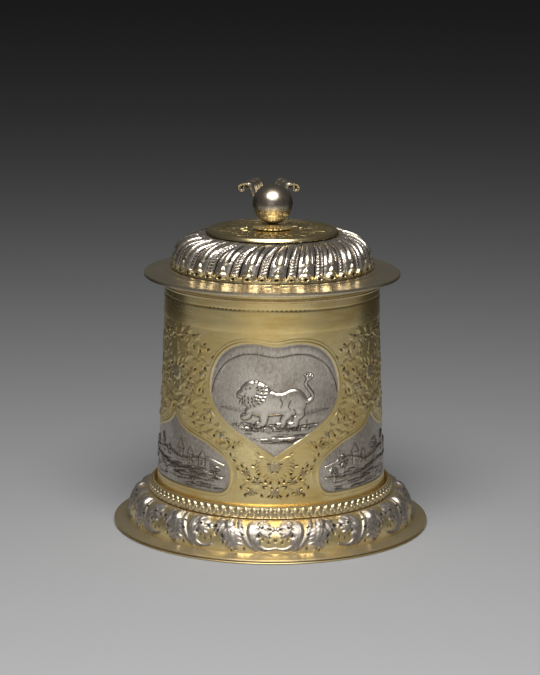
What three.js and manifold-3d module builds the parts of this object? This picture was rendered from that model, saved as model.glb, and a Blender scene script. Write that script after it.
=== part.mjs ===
// A parcel-gilt covered tankard: a slightly flared drum on a spreading domed foot, a gadrooned
// cover with a ball finial and a double-volute thumbpiece, and a scroll handle at the back.
// Millimetres, +Z up. The handle is at +Y and the front medallion faces -Y.
import * as THREE from "three";
import { mergeVertices } from "three/addons/utils/BufferGeometryUtils.js";
import Module from "manifold-3d";

const wasm = await Module();
wasm.setup();

// Facets round the axis
const SIDES = 48;
const SMALL_SIDES = 16;

// Clearances
const JOINT_GAP = 0.3; // between two soldered or seated pieces
const PIN_CLEARANCE = 0.12; // round the hinge pin and the finial screw
const KNUCKLE_GAP = 0.25; // between neighbouring hinge knuckles
const SHEET = 1.2; // wall of the raised silver

// Foot
const FOOT_RADIUS = 85;
const FOOT_WIRE_WIDTH = 2.6;
const FOOT_WIRE_HEIGHT = 1.1;
const FLANGE_RISE = 0.9; // how much the flange climbs from its edge to the dome
const DOME_RADIUS = 77;
const DOME_TOP = 18.1; // height of the ledge that the drum stands on
const DOME_SHOULDER = 66.4; // radius where the ledge starts

// Beaded collar
const COLLAR_RADIUS = 65.9;
const COLLAR_HEIGHT = 6.2;
const COLLAR_WIDTH = 3;
const BEADS = 94;
const BEAD_DEPTH = 0.9;

// Drum
const DRUM_BASE_RADIUS = 61.9;
const DRUM_RIM_RADIUS = 57.45;
const DRUM_TOP = 136.4;
const DRUM_WALL = 1.6;
const FLOOR_THICKNESS = 1.4;
const FLOOR_HEIGHT = 5; // the floor's underside above the drum's lower edge
const LIP_WIRE_HEIGHT = 2.2;
const LIP_WIRE_WIDTH = 0.8;
const LIP_WIRE_DROP = 4.2; // from the rim down to the top of the wire

// Medallions: reserves sunk in the drum's chased face
const MEDALLION_PLACES = 6; // round the drum; the handle takes one
const MEDALLION_DEPTH = 0.6;
const HEART_HALF_WIDTH = 34.4;
const HEART_TOP = 108.8;
const HEART_NOTCH = 107.3;
const HEART_SHOULDER = 84.5; // height of the widest place
const HEART_POINT = 50;
const ARCH_HALF_WIDTH = 37.5;
const ARCH_APEX = 67;
const ARCH_BASE = 29.6;
const ARCH_SHOULDER = 40; // height of the widest place
const FRAME_WIDTH = 2.8; // of the raised line round each medallion, at its root
const FRAME_HEIGHT = 0.45;

// Chased relief of the drum, with its main forms only
const RIDGE_ROOT = 0.8; // how deep the edges of raised work lie in the wall
const SCROLL_WIDTH = 4.4; // at the root
const SCROLL_HEIGHT = 0.5;
const BLOSSOM_HEIGHT = 0.7;
const LION_HEIGHT = 1.7; // of the body of the lion in the front medallion

// Cover
const LID_RADIUS = 68.4;
const LID_EDGE_LOW = 135.3;
const LID_EDGE_HIGH = 137.3;
const LID_LIP_WIDTH = 1.4;
const LID_LEDGE = 1.35; // how far the flange reaches in past the bezel
const LID_SEAT = DRUM_TOP + JOINT_GAP;
const LID_STEP = 139.1; // height of the flange where the gadrooned ring stands
const BEZEL_DEPTH = 5;
const BEZEL_THICKNESS = 1.1;
const BEZEL_CLEARANCE = 0.6;
const RING_RADIUS = 54.4;
const RING_SHOULDER = 148.5; // height of the ring's full width
const RING_CROWN = 157.6; // height of the ledge under the disc
const RING_BORE = 30;
const LOBES = 22;
const LOBE_DEPTH = 1.9; // from the ring's face down to the floor between its lobes
const LOBE_HEIGHT = 1.5;
const DROP_HEIGHT = 1; // of the long drop that lies on each lobe
const FOOT_BOSS_HEIGHT = 2.3; // of the bosses at the feet of the lobes
const LOBE_SWIRL = 9; // degrees that a lobe turns on its way up
const DISC_RADIUS = 35.65;
const DISC_HEIGHT = 2.2;
const DISC_EDGE = 1.3;

// Finial
const BALL_RADIUS = 10.8;
const BOSS_RADIUS = 10.9;
const BOSS_HEIGHT = 2;
const STUD_RADIUS = 1.9;
const STUD_IN_BALL = 6;
const STUD_BELOW_NUT = 2.4;
const NUT_WIDTH = 9;
const NUT_HEIGHT = 3.2;

// Hinge
const HINGE_STANDOFF = 4.2; // from the cover's edge out to the pin's centre
const HINGE_Z = 138.2;
const KNUCKLE_RADIUS = 3.2;
const KNUCKLE_LENGTH = 3.3;
const PIN_RADIUS = 1.25;
const PIN_HEAD_RADIUS = 2.1;
const PIN_HEAD_LENGTH = 1.3;
const STRAP_THICKNESS = 2.1;

// Thumbpiece
const THUMB_TOP = 178.6;
const THUMB_HALF_SPAN = 16.4;
const THUMB_ROLL_RADIUS = 2.7;
const THUMB_DEPTH = 8;
const THUMB_THICKNESS = 1.9;
const THUMB_INSET = 2; // from the cover's edge in to the thumbpiece's middle
const THUMB_FOOT_LENGTH = 9;

// Handle
const HANDLE_REACH = 108; // furthest point behind the drum's axis
const HANDLE_WIDTH = 15;
const HANDLE_TAIL_WIDTH = 9;
const HANDLE_THICKNESS = 8;
const HANDLE_TAIL_THICKNESS = 3.2;
const HANDLE_LOW = 47; // height of the lower joint's centre
const HANDLE_STANDOFF = 8; // from the drum to the handle's middle at the lower joint
const HANDLE_DROP = 5.2; // from the pin's centre down to the handle's upper side
const HANDLE_TAIL_CURL = 12.6; // how far the tail curls out from the lower joint
const BLOCK_DEPTH = 5.5; // from the pin's centre back to the handle's end
const BRACKET_RADIUS = 6; // at the drum
const BRACKET_WAIST = 3.6; // at the handle
const ARM_LOW = 117; // lower edge of the block that holds the handle's upper end

const GILT = { color: 0xc9ad5c, metalness: 1, roughness: 0.3 };
const SILVER = { color: 0xb9b4ab, metalness: 1, roughness: 0.34 };

const tankard = new THREE.Group();
const cover = new THREE.Group();
tankard.add(cover);

function add(name, geometry, finish, parent = tankard) {
  const mesh = new THREE.Mesh(geometry, new THREE.MeshStandardMaterial(finish));
  mesh.name = name;
  parent.add(mesh);
  return mesh;
}

// Solids and geometry

function toSolid(geometry) {
  const bare = geometry.clone();
  bare.deleteAttribute("normal");
  bare.deleteAttribute("uv");
  const merged = mergeVertices(bare, 1e-4);
  return new wasm.Manifold(
    new wasm.Mesh({
      numProp: 3,
      vertProperties: new Float32Array(merged.attributes.position.array),
      triVerts: new Uint32Array(merged.index.array),
    }),
  );
}

function fromSolid(solid) {
  const mesh = solid.getMesh();
  const geometry = new THREE.BufferGeometry();
  geometry.setAttribute("position", new THREE.BufferAttribute(mesh.vertProperties, 3));
  geometry.setIndex(new THREE.BufferAttribute(mesh.triVerts, 1));
  const flat = geometry.toNonIndexed();
  flat.computeVertexNormals();
  return flat;
}

const profilePoint = (r, z) => new THREE.Vector2(r, z);

// Twice the signed area of a closed profile: positive when it runs anticlockwise
function turning(points) {
  return points.reduce((sum, p, i) => {
    const q = points[(i + 1) % points.length];
    return sum + p.x * q.y - q.x * p.y;
  }, 0);
}

// A closed profile of [radius, height] pairs turned round the Z axis
function turned(pairs, sides = SIDES) {
  const points = pairs.map(([r, z]) => profilePoint(r, z));
  if (turning(points) < 0) points.reverse();
  const onAxis = points.some((p) => p.x === 0);
  if (onAxis) {
    // the open ends of such a profile are its two points on the axis
    while (!(points[0].x === 0 && points[points.length - 1].x === 0)) points.push(points.shift());
  } else points.push(points[0].clone());
  return new THREE.LatheGeometry(points, sides).rotateX(Math.PI / 2);
}

// A ring whose closed profile changes round the axis: profileAt(turn) gives [radius, height]
// pairs, always as many, for a turn from 0 to 1
function patternedRing(profileAt, steps) {
  const rings = Array.from({ length: steps }, (_, i) => profileAt(i / steps));
  const count = rings[0].length;
  const positions = [];
  rings.forEach((ring, i) => {
    const angle = (i / steps) * 2 * Math.PI;
    for (const [r, z] of ring) positions.push(r * Math.cos(angle), r * Math.sin(angle), z);
  });
  const index = [];
  for (let i = 0; i < steps; i++) {
    for (let j = 0; j < count; j++) {
      const a = i * count + j;
      const b = ((i + 1) % steps) * count + j;
      const c = ((i + 1) % steps) * count + ((j + 1) % count);
      const d = i * count + ((j + 1) % count);
      index.push(a, b, c, a, c, d);
    }
  }
  const geometry = new THREE.BufferGeometry();
  geometry.setAttribute("position", new THREE.Float32BufferAttribute(positions, 3));
  geometry.setIndex(index);
  return geometry;
}

// A bar along a flat curve. stations gives, for t from 0 to 1, { at, along, width, thickness },
// where at and along are [forward, up] pairs; width lies across the plane, along X.
function flatLoft(stations, section) {
  const positions = [];
  for (const { at, along, width, thickness } of stations) {
    const length = Math.hypot(...along);
    const [ty, tz] = [along[0] / length, along[1] / length];
    for (const [across, out] of section) {
      const lift = out * thickness;
      positions.push(across * width, at[0] - tz * lift, at[1] + ty * lift);
    }
  }
  const n = section.length;
  const index = [];
  for (let i = 0; i + 1 < stations.length; i++) {
    for (let j = 0; j < n; j++) {
      const k = (j + 1) % n;
      index.push(i * n + j, (i + 1) * n + j, (i + 1) * n + k, i * n + j, (i + 1) * n + k, i * n + k);
    }
  }
  const last = (stations.length - 1) * n;
  for (let j = 1; j + 1 < n; j++) {
    index.push(0, j, j + 1);
    index.push(last, last + j + 1, last + j);
  }
  const geometry = new THREE.BufferGeometry();
  geometry.setAttribute("position", new THREE.Float32BufferAttribute(positions, 3));
  geometry.setIndex(index);
  return geometry;
}

// Stations along a curve in the YZ plane
function stationsOn(curve, count, widthAt, thicknessAt) {
  return Array.from({ length: count + 1 }, (_, i) => {
    const t = i / count;
    const p = curve.getPointAt(t);
    const d = curve.getTangentAt(t);
    return { at: [p.x, p.y], along: [d.x, d.y], width: widthAt(t), thickness: thicknessAt(t) };
  });
}

const extruded = (shape, depth, curveSegments) =>
  new THREE.ExtrudeGeometry(shape, { depth, curveSegments, bevelEnabled: false });

// A prism along X from a shape drawn in the YZ plane
function slab(shape, width) {
  const geometry = extruded(shape, width, 10);
  geometry.translate(0, 0, -width / 2);
  // (x, y, depth) of the drawing become (Y, Z, X)
  geometry.applyMatrix4(new THREE.Matrix4().set(0, 0, 1, 0, 1, 0, 0, 0, 0, 1, 0, 0, 0, 0, 0, 1));
  return geometry;
}

// A cylinder along X with its centre at (0, y, z)
function barX(radius, length, y, z, sides = SMALL_SIDES) {
  const geometry = new THREE.CylinderGeometry(radius, radius, length, sides);
  geometry.rotateZ(Math.PI / 2);
  geometry.translate(0, y, z);
  return geometry;
}

// Foot

const flangeLow = FOOT_WIRE_HEIGHT + JOINT_GAP;
const flangeTopAtEdge = flangeLow + 0.7;
const flangeTopAtDome = flangeTopAtEdge + FLANGE_RISE;

function footWire() {
  const inner = FOOT_RADIUS - FOOT_WIRE_WIDTH;
  return turned([
    [inner, 0],
    [FOOT_RADIUS - 0.3, 0],
    [FOOT_RADIUS, FOOT_WIRE_HEIGHT / 2],
    [FOOT_RADIUS - 0.3, FOOT_WIRE_HEIGHT],
    [inner, FOOT_WIRE_HEIGHT],
  ]);
}

// Points on the dome's round shoulder, a quarter of an ellipse drawn in by inset
function shoulder(inset, steps) {
  const width = DOME_RADIUS - DOME_SHOULDER;
  const height = DOME_TOP - flangeTopAtDome;
  return Array.from({ length: steps + 1 }, (_, i) => {
    const angle = (i / steps) * (Math.PI / 2);
    return [
      DOME_SHOULDER + (width - inset) * Math.cos(angle) ** 0.86,
      flangeTopAtDome + (height - inset) * Math.sin(angle) ** 0.92,
    ];
  });
}

const ledgeInner = DRUM_BASE_RADIUS - 6;

function foot() {
  return turned([
    [FOOT_RADIUS, flangeLow],
    [FOOT_RADIUS + 0.1, flangeLow + 0.4],
    [FOOT_RADIUS - 0.4, flangeTopAtEdge],
    [DOME_RADIUS + 1, flangeTopAtDome],
    ...shoulder(0, 5),
    [ledgeInner, DOME_TOP],
    [ledgeInner, DOME_TOP - SHEET],
    ...shoulder(SHEET, 2).reverse(),
    [DOME_RADIUS - SHEET, flangeLow],
  ]);
}

const drumLow = DOME_TOP + JOINT_GAP;

// A strip of upright beads: each bead swells out at its middle height
function collar() {
  const low = drumLow;
  const high = low + COLLAR_HEIGHT;
  const inner = COLLAR_RADIUS - COLLAR_WIDTH;
  return patternedRing((turn) => {
    const swell = BEAD_DEPTH * Math.abs(Math.sin(turn * BEADS * Math.PI));
    const valley = BEAD_DEPTH - swell;
    return [
      [inner, low],
      [COLLAR_RADIUS, low],
      [COLLAR_RADIUS - 0.6 * valley, low + 0.55 * COLLAR_HEIGHT],
      [COLLAR_RADIUS - 0.7 - valley, high - 0.9 * valley],
      [inner + 0.5, high - 0.9 * valley],
    ];
  }, BEADS * 2);
}

// Drum

// The drum's outer radius: nearly straight near the rim, flaring towards the foot
function drumRadius(z) {
  const t = (DRUM_TOP - z) / (DRUM_TOP - drumLow);
  return DRUM_RIM_RADIUS + (DRUM_BASE_RADIUS - DRUM_RIM_RADIUS) * Math.max(t, 0) ** 1.7;
}

const DRUM_ROWS = 4;
const drumRows = Array.from(
  { length: DRUM_ROWS + 1 },
  (_, i) => drumLow + ((DRUM_TOP - drumLow) * i) / DRUM_ROWS,
);

// The shell of the drum between two depths under its outer face
function drumShell(outset, inset) {
  return turned([
    ...drumRows.map((z) => [drumRadius(z) + outset, z]),
    ...drumRows.map((z) => [drumRadius(z) - inset, z]).reverse(),
  ]);
}

// The medallions' outlines, with arc length round the drum across and height up
function heartShape() {
  const w = HEART_HALF_WIDTH;
  const top = HEART_TOP;
  const shape = new THREE.Shape();
  shape.moveTo(0, HEART_NOTCH);
  shape.bezierCurveTo(0.12 * w, HEART_NOTCH, 0.18 * w, top, 0.36 * w, top);
  shape.bezierCurveTo(0.78 * w, top, w, top - 11, w, HEART_SHOULDER);
  shape.bezierCurveTo(w, HEART_SHOULDER - 17, 0.3 * w, HEART_POINT + 9, 0, HEART_POINT);
  shape.bezierCurveTo(-0.3 * w, HEART_POINT + 9, -w, HEART_SHOULDER - 17, -w, HEART_SHOULDER);
  shape.bezierCurveTo(-w, top - 11, -0.78 * w, top, -0.36 * w, top);
  shape.bezierCurveTo(-0.18 * w, top, -0.12 * w, HEART_NOTCH, 0, HEART_NOTCH);
  return shape;
}

function archShape() {
  const w = ARCH_HALF_WIDTH;
  const top = ARCH_APEX;
  const base = ARCH_BASE;
  const shape = new THREE.Shape();
  shape.moveTo(0, top);
  shape.bezierCurveTo(0.12 * w, top - 9, 0.45 * w, top - 9, 0.66 * w, top - 13);
  shape.bezierCurveTo(0.86 * w, top - 17, w, ARCH_SHOULDER + 7, w, ARCH_SHOULDER);
  shape.bezierCurveTo(w, base + 3, 0.95 * w, base, 0.78 * w, base);
  shape.lineTo(-0.78 * w, base);
  shape.bezierCurveTo(-0.95 * w, base, -w, base + 3, -w, ARCH_SHOULDER);
  shape.bezierCurveTo(-w, ARCH_SHOULDER + 7, -0.86 * w, top - 17, -0.66 * w, top - 13);
  shape.bezierCurveTo(-0.45 * w, top - 9, -0.12 * w, top - 9, 0, top);
  return shape;
}

// A block that stands on a medallion's outline and is rolled round the drum's front: the
// outline's arc lengths become angles
function rolledBlock(shape, from, to) {
  const geometry = extruded(shape, to - from, 4);
  const position = geometry.attributes.position;
  for (let i = 0; i < position.count; i++) {
    const angle = position.getX(i) / DRUM_RIM_RADIUS;
    const z = position.getY(i);
    const radius = from + position.getZ(i);
    position.setXYZ(i, radius * Math.sin(angle), -radius * Math.cos(angle), z);
  }
  return geometry;
}

// The block's flat faces run inside and outside the wall all the way across
const rolledFrom = 0.8 * DRUM_RIM_RADIUS;
const rolledTo = 1.5 * DRUM_BASE_RADIUS;

// A point of the drum's face, from its arc length round the rim, its height and a lift
function onDrum(x, z, lift) {
  const angle = x / DRUM_RIM_RADIUS;
  const radius = drumRadius(z) + lift;
  return [radius * Math.sin(angle), -radius * Math.cos(angle), z];
}

// A raised line along [arc length, height] points: a bar of three sides, whose lower two edges
// lie in the wall; outset moves a line that closes on itself outwards
function ridge(points, width, height, closed, outset = 0) {
  const count = points.length;
  const section = [
    [-width / 2 - outset, -RIDGE_ROOT],
    [-outset, height],
    [width / 2 - outset, -RIDGE_ROOT],
  ];
  const positions = [];
  points.forEach(([x, z], i) => {
    const before = points[closed ? (i + count - 1) % count : Math.max(i - 1, 0)];
    const after = points[closed ? (i + 1) % count : Math.min(i + 1, count - 1)];
    const length = Math.hypot(after[0] - before[0], after[1] - before[1]);
    const side = [(after[1] - before[1]) / length, (before[0] - after[0]) / length];
    for (const [across, lift] of section) {
      positions.push(...onDrum(x + side[0] * across, z + side[1] * across, lift));
    }
  });
  const index = [];
  for (let i = 0; i < (closed ? count : count - 1); i++) {
    const next = ((i + 1) % count) * 3;
    for (let j = 0; j < 3; j++) {
      const k = (j + 1) % 3;
      index.push(i * 3 + j, i * 3 + k, next + k, i * 3 + j, next + k, next + j);
    }
  }
  if (!closed) {
    const last = (count - 1) * 3;
    index.push(0, 2, 1, last, last + 1, last + 2);
  }
  const geometry = new THREE.BufferGeometry();
  geometry.setAttribute("position", new THREE.Float32BufferAttribute(positions, 3));
  geometry.setIndex(index);
  const solid = toSolid(geometry);
  if (solid.volume() > 0) return solid;
  geometry.setIndex([...index].reverse());
  return toSolid(geometry);
}

// A rounded mound, long in the direction of its turn, on a floor that is sunk by sink
function swell(x, z, long, wide, height, turn = 0, sink = 0) {
  const geometry = new THREE.SphereGeometry(1, long > 6 ? 8 : 6, long > 6 ? 6 : 4);
  geometry.rotateX(Math.PI / 2).scale(long / 2, wide / 2, height + 0.5).rotateZ(turn);
  const position = geometry.attributes.position;
  for (let i = 0; i < position.count; i++) {
    const lift = Math.max(position.getZ(i) - 0.5, -RIDGE_ROOT) - sink;
    position.setXYZ(i, ...onDrum(x + position.getX(i), z + position.getY(i), lift));
  }
  return toSolid(geometry);
}

// The foliage between the middle of a heart and the middle of an arch, drawn as if the arch
// were to its right: scrolls as lines of points, blossoms as [x, z, width]
const archMiddle = (2 * Math.PI * DRUM_RIM_RADIUS) / MEDALLION_PLACES;
const scrollLines = [
  [
    [archMiddle - 1, 73],
    [53, 71.5],
    [46, 75],
    [43.5, 82],
    [46.5, 88],
    [51, 87.5],
  ],
  [
    [archMiddle - 1, 108.5],
    [53, 110],
    [45, 107.5],
    [40.5, 102],
    [42, 96.5],
  ],
  [
    [48, 66.5],
    [42.5, 65.5],
    [37.5, 66.5],
    [35.5, 72],
    [37, 77.5],
  ],
  [
    [1.5, 34.5],
    [5.2, 34.2],
    [9.6, 35.4],
    [13.8, 38],
  ],
];
const blossoms = [
  [archMiddle, 88.5, 9.5],
  [48.6, 83.2, 5.4],
  [33.4, 70.2, 4.2],
  [0, 45.2, 6.6],
  [7.4, 38.3, 4.4],
  [10.6, 31.6, 4.2],
  [0, 30.9, 4.4],
];

// The lion's main masses: [x, z, length, width, height as a share, turn in degrees]
const lionMasses = [
  [2, 79.2, 26, 9.4, 1, 0],
  [13, 78.6, 11, 11, 1.05, 0],
  [-11.5, 81.5, 15, 13, 1.2, 60],
  [-18, 86, 8, 6.6, 1.45, 25],
  [15.6, 71, 12, 4.4, 0.8, 100],
  [8, 70.5, 13, 4, 0.6, 75],
  [-8.6, 69.5, 13, 3.8, 0.8, 88],
  [-16, 74, 12, 4.2, 0.85, 35],
];

function lion() {
  return lionMasses.map(([x, z, long, wide, share, turn]) => {
    const height = LION_HEIGHT * share;
    return swell(x, z, long, wide, height, THREE.MathUtils.degToRad(turn), MEDALLION_DEPTH);
  });
}

// One raised line round each medallion, on its outline's outer side
function frameOf(outline) {
  const points = outline.getPoints(4).map((p) => [p.x, p.y]);
  points.pop();
  return ridge(points, FRAME_WIDTH, FRAME_HEIGHT, true, FRAME_WIDTH / 4);
}

function foliage() {
  const solids = [];
  for (const side of [1, -1]) {
    for (const line of scrollLines) {
      const mirrored = line.map(([x, z]) => [side * x, z]);
      solids.push(ridge(mirrored, SCROLL_WIDTH, SCROLL_HEIGHT, false));
    }
    for (const [x, z, width] of blossoms) {
      if (x > 0 || side > 0) solids.push(swell(side * x, z, width, width, BLOSSOM_HEIGHT));
    }
  }
  return wasm.Manifold.union(solids);
}

// A drum whose medallions are sunk: hearts and arches take turns, and none is behind the handle
function drum() {
  let solid = toSolid(drumShell(0, DRUM_WALL));
  const skin = toSolid(drumShell(DRUM_WALL, MEDALLION_DEPTH));
  const leaves = foliage();
  const raised = [];
  for (let i = 0; i < MEDALLION_PLACES; i++) {
    const angle = (i * 360) / MEDALLION_PLACES;
    if (i % 2 === 0) raised.push(leaves.rotate([0, 0, angle]));
    if (i === MEDALLION_PLACES / 2) continue;
    const outline = i % 2 ? archShape() : heartShape();
    const block = rolledBlock(outline, rolledFrom, rolledTo);
    block.rotateZ((i * 2 * Math.PI) / MEDALLION_PLACES);
    solid = solid.subtract(skin.intersect(toSolid(block)));
    raised.push(frameOf(outline).rotate([0, 0, angle]));
  }
  return fromSolid(wasm.Manifold.union([solid, ...raised, ...lion()]));
}

function drumFloor() {
  const z = drumLow + FLOOR_HEIGHT;
  const radius = drumRadius(z) - DRUM_WALL - JOINT_GAP;
  return turned([
    [0, z],
    [radius, z],
    [radius, z + FLOOR_THICKNESS],
    [0, z + FLOOR_THICKNESS],
  ]);
}

const lipWireHigh = DRUM_TOP - LIP_WIRE_DROP;
const lipWireLow = lipWireHigh - LIP_WIRE_HEIGHT;

function lipWire() {
  const seat = drumRadius(lipWireLow) + JOINT_GAP;
  return turned([
    [seat, lipWireLow],
    [seat + LIP_WIRE_WIDTH, lipWireLow + 0.3 * LIP_WIRE_HEIGHT],
    [seat + LIP_WIRE_WIDTH, lipWireLow + 0.7 * LIP_WIRE_HEIGHT],
    [seat, lipWireHigh],
  ]);
}

// Cover

const ringInner = RING_RADIUS - SHEET;
const bezelOuter = DRUM_RIM_RADIUS - DRUM_WALL - BEZEL_CLEARANCE;
const bezelInner = bezelOuter - BEZEL_THICKNESS;
const flangeInner = Math.min(ringInner - 0.4, bezelInner - LID_LEDGE);

function lidFlange() {
  return turned([
    [LID_RADIUS, LID_EDGE_LOW],
    [LID_RADIUS, LID_EDGE_HIGH - 0.5],
    [LID_RADIUS - 0.6, LID_EDGE_HIGH],
    [RING_RADIUS + 1, LID_STEP],
    [flangeInner, LID_STEP],
    [flangeInner, LID_SEAT],
    [LID_RADIUS - LID_LIP_WIDTH, LID_SEAT],
    [LID_RADIUS - LID_LIP_WIDTH, LID_EDGE_LOW],
  ]);
}

function bezel() {
  const high = LID_SEAT - JOINT_GAP;
  return turned([
    [bezelInner, high],
    [bezelOuter, high],
    [bezelOuter, high - BEZEL_DEPTH + 0.8],
    [bezelInner, high - BEZEL_DEPTH],
  ]);
}

// The ring's outer profile from its foot up to the ledge under the disc
const ringLow = LID_STEP + JOINT_GAP;
const ringProfile = [
  [RING_RADIUS, ringLow],
  [RING_RADIUS, ringLow + 1.6],
  [RING_RADIUS - 0.9, ringLow + 4.2],
  [RING_RADIUS - 1.8, RING_SHOULDER],
  [RING_RADIUS - 4.1, RING_SHOULDER + 4.5],
  [RING_RADIUS - 8.2, RING_SHOULDER + 7.6],
  [RING_RADIUS - 13.6, RING_CROWN - 0.6],
  [RING_BORE, RING_CROWN],
];
// How much of the bosses, lobes and drops each of these points takes
const bossShare = [0.35, 1, 0.75, 0, 0, 0, 0, 0];
const lobeShare = [0, 0.25, 0.9, 1, 1, 0.7, 0.15, 0];
const dropShare = [0, 0, 0.3, 1, 0.55, 0, 0, 0];

// The height of a round mound at a place, when its middle is 0 and its edge 1
const mound = (place) => Math.sqrt(Math.max(0, 1 - place * place));

// The relief at one of the points; place runs from -0.5 to 0.5 over a lobe, with its crest at 0
function lobeRelief(place, i) {
  const flute = Math.abs(place) - 0.5; // 0 in the middle of the narrow flute
  const boss = Math.max(mound(place / 0.26), 0.75 * mound(flute / 0.16));
  const lobe = Math.max(LOBE_HEIGHT * mound(place / 0.32), 0.4 * mound(flute / 0.13));
  return Math.max(
    bossShare[i] * FOOT_BOSS_HEIGHT * boss,
    lobeShare[i] * lobe + dropShare[i] * DROP_HEIGHT * mound(place / 0.12),
  );
}

// Broad lobes and narrow flutes take turns, leaning a little as they climb
function gadroonedRing() {
  const rise = RING_CROWN - ringLow;
  return patternedRing((turn) => {
    const outer = ringProfile.map(([r, z], i) => {
      const lean = (LOBE_SWIRL / 360) * ((z - ringLow) / rise);
      const count = (turn - lean) * LOBES;
      const sunk = LOBE_DEPTH * Math.max(bossShare[i], lobeShare[i]);
      const depth = sunk - lobeRelief(count - Math.round(count), i);
      return [r - depth, z - 0.4 * depth * lobeShare[i]];
    });
    const inner = [
      [RING_BORE, RING_CROWN - SHEET],
      [RING_RADIUS - 15, RING_CROWN - 0.6 - SHEET - LOBE_DEPTH],
      [ringInner - 1.8 - LOBE_DEPTH, RING_SHOULDER - 2],
      [ringInner - LOBE_DEPTH, ringLow],
    ];
    return [...outer, ...inner];
  }, LOBES * 8);
}

const discLow = RING_CROWN + JOINT_GAP;
const discTop = discLow + DISC_HEIGHT;
const studBore = STUD_RADIUS + PIN_CLEARANCE;
const discUnder = discLow + 0.9;

function disc() {
  return turned([
    [DISC_RADIUS, discLow],
    [DISC_RADIUS, discLow + 0.6],
    [DISC_RADIUS - 0.9, discLow + DISC_EDGE],
    [DISC_RADIUS - 3.1, discTop - 0.3],
    [DISC_RADIUS - 8, discTop],
    [studBore, discTop],
    [studBore, discUnder],
    [DISC_RADIUS - 4.4, discUnder],
    [DISC_RADIUS - 5.2, discLow],
  ]);
}

const bossLow = discTop + JOINT_GAP;
const bossTop = bossLow + BOSS_HEIGHT;

function boss() {
  return turned(
    [
      [BOSS_RADIUS, bossLow],
      [BOSS_RADIUS, bossLow + 0.35 * BOSS_HEIGHT],
      [0.8 * BOSS_RADIUS, bossLow + 0.55 * BOSS_HEIGHT],
      [0.55 * BOSS_RADIUS, bossTop],
      [studBore, bossTop],
      [studBore, bossLow],
    ],
    32,
  );
}

// The ball stands on the boss's flat top, where a short flat is filed on it
const ballFlat = 0.3 * BALL_RADIUS;
const ballLow = bossTop + JOINT_GAP;
const ballCentre = ballLow + Math.sqrt(BALL_RADIUS ** 2 - ballFlat ** 2);

function ball() {
  const rings = 10;
  const from = Math.asin(ballFlat / BALL_RADIUS);
  const round = Array.from({ length: rings - 1 }, (_, i) => {
    const angle = from + ((Math.PI - from) * (i + 1)) / rings;
    return [BALL_RADIUS * Math.sin(angle), ballCentre - BALL_RADIUS * Math.cos(angle)];
  });
  const boreTop = ballLow + STUD_IN_BALL + JOINT_GAP;
  const bore = [
    [0, boreTop],
    [studBore, boreTop],
    [studBore, ballLow],
    [ballFlat, ballLow],
  ];
  return turned([...bore, ...round, [0, ballCentre + BALL_RADIUS]], 28);
}

const nutTop = discUnder - JOINT_GAP;
const nutLow = nutTop - NUT_HEIGHT;

// A square nut with its corners cut
function nut() {
  const half = NUT_WIDTH / 2;
  const cut = 0.22 * NUT_WIDTH;
  const centre = new THREE.Vector2();
  const corners = Array.from({ length: 4 }, (_, i) => [
    new THREE.Vector2(half, half - cut).rotateAround(centre, (i * Math.PI) / 2),
    new THREE.Vector2(half - cut, half).rotateAround(centre, (i * Math.PI) / 2),
  ]);
  const shape = new THREE.Shape(corners.flat());
  const hole = new THREE.Path();
  hole.absarc(0, 0, studBore, 0, 2 * Math.PI, true);
  shape.holes.push(hole);
  return extruded(shape, NUT_HEIGHT, 20).translate(0, 0, nutLow);
}

function stud() {
  const low = nutLow - STUD_BELOW_NUT;
  const high = ballLow + STUD_IN_BALL;
  return turned(
    [
      [0, low],
      [STUD_RADIUS - 0.4, low],
      [STUD_RADIUS, low + 0.4],
      [STUD_RADIUS, high],
      [0, high],
    ],
    SMALL_SIDES,
  );
}

// Hinge: the handle's block has three knuckles and the cover's strap has the two between them

const hingeY = LID_RADIUS + HINGE_STANDOFF;
const knucklePitch = KNUCKLE_LENGTH + KNUCKLE_GAP;
const hingeWidth = 5 * KNUCKLE_LENGTH + 4 * KNUCKLE_GAP;
const pinBore = PIN_RADIUS + PIN_CLEARANCE;
const clearRadius = KNUCKLE_RADIUS + 0.4;

// A box that takes a knuckle's place in the other leaf
function knuckleNotch(index) {
  const box = new THREE.BoxGeometry(KNUCKLE_LENGTH + 2 * KNUCKLE_GAP, 2 * clearRadius, 2 * clearRadius);
  return toSolid(box.translate((index - 2) * knucklePitch, hingeY, HINGE_Z));
}

function flangeTop(y) {
  const share = (y - RING_RADIUS - 1) / (LID_RADIUS - 0.6 - RING_RADIUS - 1);
  return LID_STEP + (LID_EDGE_HIGH - LID_STEP) * share;
}

const strapFront = RING_RADIUS + 1.6;
const strapTop = flangeTop(strapFront) + JOINT_GAP + STRAP_THICKNESS;

function strap() {
  const shape = new THREE.Shape();
  shape.moveTo(strapFront, flangeTop(strapFront) + JOINT_GAP);
  shape.lineTo(LID_RADIUS + 0.5, flangeTop(LID_RADIUS) + JOINT_GAP);
  shape.absarc(hingeY, HINGE_Z, KNUCKLE_RADIUS, Math.PI * 1.12, Math.PI * 0.5, false);
  shape.lineTo(strapFront + 1.2, strapTop);
  const width = 3 * KNUCKLE_LENGTH + 2 * KNUCKLE_GAP;
  let solid = toSolid(slab(shape, width));
  solid = solid.subtract(toSolid(barX(pinBore, hingeWidth + 4, hingeY, HINGE_Z)));
  return fromSolid(solid.subtract(knuckleNotch(2)));
}

const armFront = (z) => drumRadius(z) + JOINT_GAP;

// The block soldered under the rim: it carries the knuckles and starts the handle
const blockBack = hingeY + BLOCK_DEPTH;
const handleTop = HINGE_Z - HANDLE_DROP;
const armHigh = lipWireLow - JOINT_GAP;

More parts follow.
